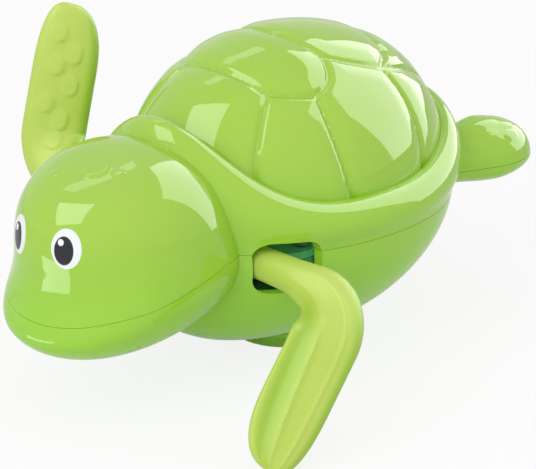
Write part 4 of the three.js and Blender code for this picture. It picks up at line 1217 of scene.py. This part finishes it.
# Scales of a blade: distance past the knee and from the middle line to the inner edge
BLADE_SCALES = (
    (0.0188, -0.0005), (0.015, 0.003), (0.0125, 0.0), (0.0088, 0.0032),
    (0.005, -0.0008), (0.002, 0.0025), (-0.003, 0.0025),
)


def blade_scales(settings):
    """Ovals on the blade's scaly face, in the flipper's own axes"""
    form, stretch = settings.flippers, settings.scales.stretch
    knee_end = knee_ends(form)[1]
    return [
        flipper_place(form, knee_end + along + np.array([-stretch, stretch]), across, -form.half_thickness)
        for along, across in BLADE_SCALES
    ]


class TURTLE_OT_flippers(Operator):
    """Both rowing flippers with their channel, ridges and raised scales"""

    bl_idname = "turtle.flippers"
    bl_label = "Rowing Flippers"

    def execute(self, context):
        settings = context.scene.turtle
        form, scales = settings.flippers, settings.scales
        material = yellow_green_satin(settings.colours)
        for side, name, phase in ((1, "left", form.left_phase), (-1, "right", form.right_phase)):
            turn = flipper_to_body(side, phase)
            place = np.array(SHAFT)
            rings, painted_shade = flipper_rings(form, side)
            skin = closed_skin("blade", rings @ turn.T + place)
            # The painted shade goes on the mesh as its hollow attribute
            skin.attributes.new("hollow", "FLOAT", "POINT").data.foreach_set(
                "value", np.concatenate([painted_shade.ravel(), [0.0, 0.0]]).astype(np.float32))
            lines = [line @ turn.T + place for line in blade_scales(settings)]
            middle = knee_ends(form)[1] + form.blade_length / 2
            lean = flipper_place(form, middle - LEAN_STEP[0], LEAN_STEP[1], 0.0)
            lean = lean - flipper_place(form, middle, 0.0, 0.0)
            lean = turn @ lean * (scales.lean / np.linalg.norm(lean))
            blade = raised(skin, lines, material, scales, scales.blade, lean)
            bore = around(48)
            outline = np.column_stack([
                SHAFT.y + form.bore_radius * np.cos(bore), SHAFT.z + form.bore_radius * np.sin(bore),
            ])
            hole = prism(outline, side * STEM_START / 2, side * form.bore_end)
            blade = carved(blade, ("DIFFERENCE", [hole]))
            dress(blade, f"dressed_{name}_flipper", material, "output",
                  f"{name}_flipper")
        return {"FINISHED"}


class TURTLE_OT_eyes(Operator):
    """Printed eyes that follow the head's surface"""

    bl_idname = "turtle.eyes"
    bl_label = "Eyes"

    def execute(self, context):
        settings = context.scene.turtle
        eyes = settings.eyes
        material = finish("printed_eye", printed_eye(eyes, settings.colours))
        skin = head(settings)
        tree = BVHTree.FromPolygons([v.co for v in skin.vertices], [p.vertices for p in skin.polygons])
        for name, place in (("left", eyes.left), ("right", eyes.right)):
            decal = self.decal(eyes, tree, place)
            dress(decal, f"{name}_eye", material, "housing")
        bpy.data.meshes.remove(skin)
        return {"FINISHED"}

    @staticmethod
    def decal(eyes, tree, place, rings=10, count=64):
        """A thin oval film on the head, with its map in metres"""
        off_head = 0.01
        front = Vector((place[0], -1.0, SHAFT.z + place[1]))
        middle, outward, _, _ = tree.ray_cast(front, Vector((0, 1, 0)))
        if middle is None:
            raise RuntimeError("an eye's place lies off the head")
        across = Vector((0, 0, 1)).cross(outward).normalized()
        up = outward.cross(across)
        flat = [(0.0, 0.0)]
        for i in range(1, rings + 1):
            for turn in around(count):
                u = eyes.white[0] * i / rings * math.cos(turn)
                flat.append((u, eyes.white[1] * i / rings * math.sin(turn)))
        top, foot = [], []
        for u, v in flat:
            start = middle + across * u + up * v + outward * off_head
            hit, normal, _, _ = tree.ray_cast(start, -outward)
            top.append(hit + normal * eyes.film)
            foot.append(hit - normal * eyes.film)
        faces = []
        for j in range(count):
            after = (j + 1) % count
            faces.append((0, 1 + j, 1 + after))
            for i in range(rings - 1):
                a, b = 1 + i * count + j, 1 + i * count + after
                faces.append((a, a + count, b + count, b))
        total = len(top)
        under = [tuple(total + k for k in reversed(face)) for face in faces]
        outer = [1 + (rings - 1) * count + j for j in range(count)]
        edge = [(outer[j], total + outer[j], total + outer[(j + 1) % count], outer[(j + 1) % count])
                for j in range(count)]
        mesh = mesh_of("eye", top + foot, faces + under + edge)
        mapped = mesh.uv_layers.new(name="eye")
        for loop in mesh.loops:
            mapped.data[loop.index].uv = flat[loop.vertex_index % total]
        return mesh


# Depth of the dish under the knob as a share of the knob's height
DISH_SHARE = 0.55


class TURTLE_OT_knob(Operator):
    """Fluted winding knob with its finger bar"""

    bl_idname = "turtle.knob"
    bl_label = "Winding Knob"

    def execute(self, context):
        settings = context.scene.turtle
        form = settings.knob
        material = lime_gloss(settings.colours)
        radius, height = KNOB_HIGH.x, KNOB_HIGH.z - KNOB_LOW.z
        dish = DISH_SHARE * height
        quarter = np.linspace(0, np.pi / 2, 8)
        across, along = form.edge * (1 - np.sin(quarter)), form.edge * (1 - np.cos(quarter))
        profile = [*zip(radius - across, along), *zip(radius - along, height - across)]
        disc = lathe(profile)
        bar_half, bar_tall = form.bar / 2, dish + form.edge
        bar_outline = [(-bar_half, 0.0), (bar_half, 0.0), (bar_half, bar_tall), (-bar_half, bar_tall)]
        flutes = grown(mesh_of("flutes", [], []), flute_group, {
            "Count": form.flutes,
            "Ring Radius": radius + form.flute_place,
            "Flute Radius": form.flute_radius,
            "Length": 4 * height,
            "Material": material,
        })
        socket = rod(form.socket_radius, form.socket_bottom, 2 * height, count=64)
        knob = carved(
            disc,
            ("DIFFERENCE", [rod(radius - form.rim, -height, dish, count=128)]),
            ("UNION", [prism(bar_outline, form.rim / 2 - radius, radius - form.rim / 2),
                       rod(form.hub_radius, 0.0, bar_tall, count=64)]),
            ("DIFFERENCE", [flutes, socket]),
        )
        dress(knob, "dressed_winding_knob", material, "winding", "winding_knob")
        return {"FINISHED"}


class TURTLE_OT_spring(Operator):
    """Flat spiral mainspring round the spindle"""

    bl_idname = "turtle.spring"
    bl_label = "Mainspring"

    def execute(self, context):
        settings = context.scene.turtle
        form = settings.spring
        material = plain_steel(settings.colours)
        strip = grown(mesh_of("strip", [], []), spiral_group, {
            "Turns": float(form.turns),
            "Inner Radius": form.inner_radius,
            "Outer Radius": SPRING_HIGH.x - form.strip / 2,
            "Thickness": form.strip,
            "Height": SPRING_HIGH.z - SPRING_LOW.z,
            "Middle": (0.0, 0.0, (SPRING_HIGH.z + SPRING_LOW.z) / 2),
            "Material": material,
        })
        dress(strip, "dressed_mainspring", material, "housing", "mainspring")
        return {"FINISHED"}


class TURTLE_OT_works(Operator):
    """Finishes of the clockwork that is shown as it was packed"""

    bl_idname = "turtle.works"
    bl_label = "Clockwork"

    def execute(self, context):
        colours = context.scene.turtle.colours
        finishes = {
            "gear_plastic": natural_plastic(colours),
            "gearbox_plastic": gearbox_plastic(colours),
            "steel": plain_steel(colours),
        }
        for part in frame["record"]["subparts"]:
            solid = frame["nodes"][part["node"]]
            if part["material_slot"] in finishes:
                solid.data.materials.clear()
                solid.data.materials.append(finishes[part["material_slot"]])
        return {"FINISHED"}


# Studio: name, azimuth, elevation, roll, distance, width, height and brightness of each panel.
# The softboxes light the toy, and the cards are seen in its gloss. Inner lamps have a place on the
# left and a share of the inner light.
SOFTBOXES = (
    ("front", 15, 36, 0, 0.9, 0.8, 0.7, 2.0),
    ("side", 130, 30, 0, 0.9, 0.6, 0.6, 0.6),
    ("top", 47, 82, 0, 0.9, 0.9, 0.9, 0.35),
)
CARDS = (
    ("right_card", 168, 33, 0, 0.7, 0.84, 0.88, 3.6),
    ("left_card", -33, 44, 42, 0.7, 0.35, 0.42, 3.8),
    ("rear_card", -105, 50, 0, 0.8, 0.4, 0.1, 1.5),
    ("low_card", -15, -12, 0, 0.09, 0.044, 0.011, 3.4),
)
INNER_LAMP_RADIUS = 0.003
INNER_LAMPS = ((0.023, -0.007, 0.03, 1.0), (0.0205, -0.013, 0.021, 0.3))


class TURTLE_OT_stage(Operator):
    """Floor, softboxes, even fill and the camera"""

    bl_idname = "turtle.stage"
    bl_label = "Studio"

    def execute(self, context):
        settings = context.scene.turtle
        self.camera(context.scene, settings.stage)
        self.floor(settings)
        self.lights(settings.stage)
        self.world(context.scene, settings.stage)
        context.scene.view_settings.view_transform = "Standard"
        return {"FINISHED"}

    @staticmethod
    def towards(azimuth, elevation):
        level = math.cos(elevation)
        return Vector((math.sin(azimuth) * level, -math.cos(azimuth) * level, math.sin(elevation)))

    def camera(self, scene, stage):
        data = bpy.data.cameras.new("camera")
        data.lens = stage.lens
        data.sensor_width = 36.0
        data.clip_start = 0.01
        camera = bpy.data.objects.new("camera", data)
        scene.collection.objects.link(camera)
        anchor = Vector(stage.anchor)
        right = Vector((math.cos(stage.azimuth), math.sin(stage.azimuth), 0.0))
        camera.location = anchor + stage.distance * self.towards(stage.azimuth, stage.elevation)
        look = anchor + stage.slide * right - camera.location
        camera.rotation_euler = look.to_track_quat("-Z", "Y").to_euler()
        scene.camera = camera

    @staticmethod
    def floor(settings):
        half = settings.stage.floor_half
        level = CAD_BOX[0][2]
        corners = [(-half, -half, level), (half, -half, level), (half, half, level), (-half, half, level)]
        mesh = mesh_of("floor", corners, [(0, 1, 2, 3)])
        paint = studio_floor(settings.colours.floor, settings.stage.floor_glow)
        mesh.materials.append(finish("floor", paint))
        object_of(mesh)

    def lights(self, stage):
        anchor = Vector(stage.anchor)
        for row in (*SOFTBOXES, *CARDS):
            name, azimuth, elevation, roll, distance, width, height, brightness = row
            data = bpy.data.lights.new(name, "AREA")
            data.shape = "RECTANGLE"
            data.size, data.size_y = width, height
            data.energy = brightness * math.pi * width * height
            lamp = object_of(data)
            way = self.towards(math.radians(azimuth), math.radians(elevation))
            lamp.location = anchor + distance * way
            facing = (-way).to_track_quat("-Z", "Y") @ Quaternion((0, 0, 1), math.radians(roll))
            lamp.rotation_euler = facing.to_euler()
            lamp.visible_glossy = row in CARDS
            lamp.visible_diffuse = row in SOFTBOXES
        for side, (x, y, z, part) in itertools.product(SIDES, INNER_LAMPS):
            data = bpy.data.lights.new("inner", "POINT")
            data.shadow_soft_size = INNER_LAMP_RADIUS
            data.energy = stage.inner * part
            lamp = object_of(data)
            lamp.location = (side * x, y, z)
            lamp.visible_glossy = False

    @staticmethod
    def world(scene, stage):
        world = bpy.data.worlds.new("studio")
        world.use_nodes = True
        scene.world = world
        tree = Tree(world.node_tree)
        seen = plainly_seen(tree)
        fill = tree.add("ShaderNodeBackground", values={"Color": rgba((1, 1, 1)), "Strength": stage.fill})
        white = tree.add("ShaderNodeBackground", values={"Color": rgba((1, 1, 1)), "Strength": 1.0})
        both = tree.add("ShaderNodeMixShader", values={0: seen, 1: fill, 2: white})
        tree.add("ShaderNodeOutputWorld", values={"Surface": both})


OPERATORS = (
    TURTLE_OT_stage,
    TURTLE_OT_upper_shell,
    TURTLE_OT_lower_shell,
    TURTLE_OT_flippers,
    TURTLE_OT_eyes,
    TURTLE_OT_knob,
    TURTLE_OT_spring,
    TURTLE_OT_works,
)


class TURTLE_PT_panel(Panel):
    """The toy's pieces and their settings"""

    bl_idname = "TURTLE_PT_panel"
    bl_label = "Wind-up Turtle"
    bl_space_type = "VIEW_3D"
    bl_region_type = "UI"
    bl_category = "Turtle"

    def draw(self, context):
        settings = context.scene.turtle
        for operator in OPERATORS:
            self.layout.operator(operator.bl_idname)
        for name in GROUPS:
            box = self.layout.box()
            box.label(text=name.title())
            group = getattr(settings, name)
            for key in group.__annotations__:
                box.prop(group, key)


CLASSES = (*GROUPS.values(), TurtleSettings, *OPERATORS, TURTLE_PT_panel)


def register():
    for cls in CLASSES:
        bpy.utils.register_class(cls)
    bpy.types.Scene.turtle = PointerProperty(type=TurtleSettings)


def unregister():
    del bpy.types.Scene.turtle
    for cls in reversed(CLASSES):
        bpy.utils.unregister_class(cls)


def main():
    register()
    bpy.ops.turtle.stage()
    bpy.ops.turtle.upper_shell()
    bpy.ops.turtle.lower_shell()
    bpy.ops.turtle.flippers()
    bpy.ops.turtle.eyes()
    bpy.ops.turtle.knob()
    bpy.ops.turtle.spring()
    bpy.ops.turtle.works()


if __name__ == "__main__":
    main()
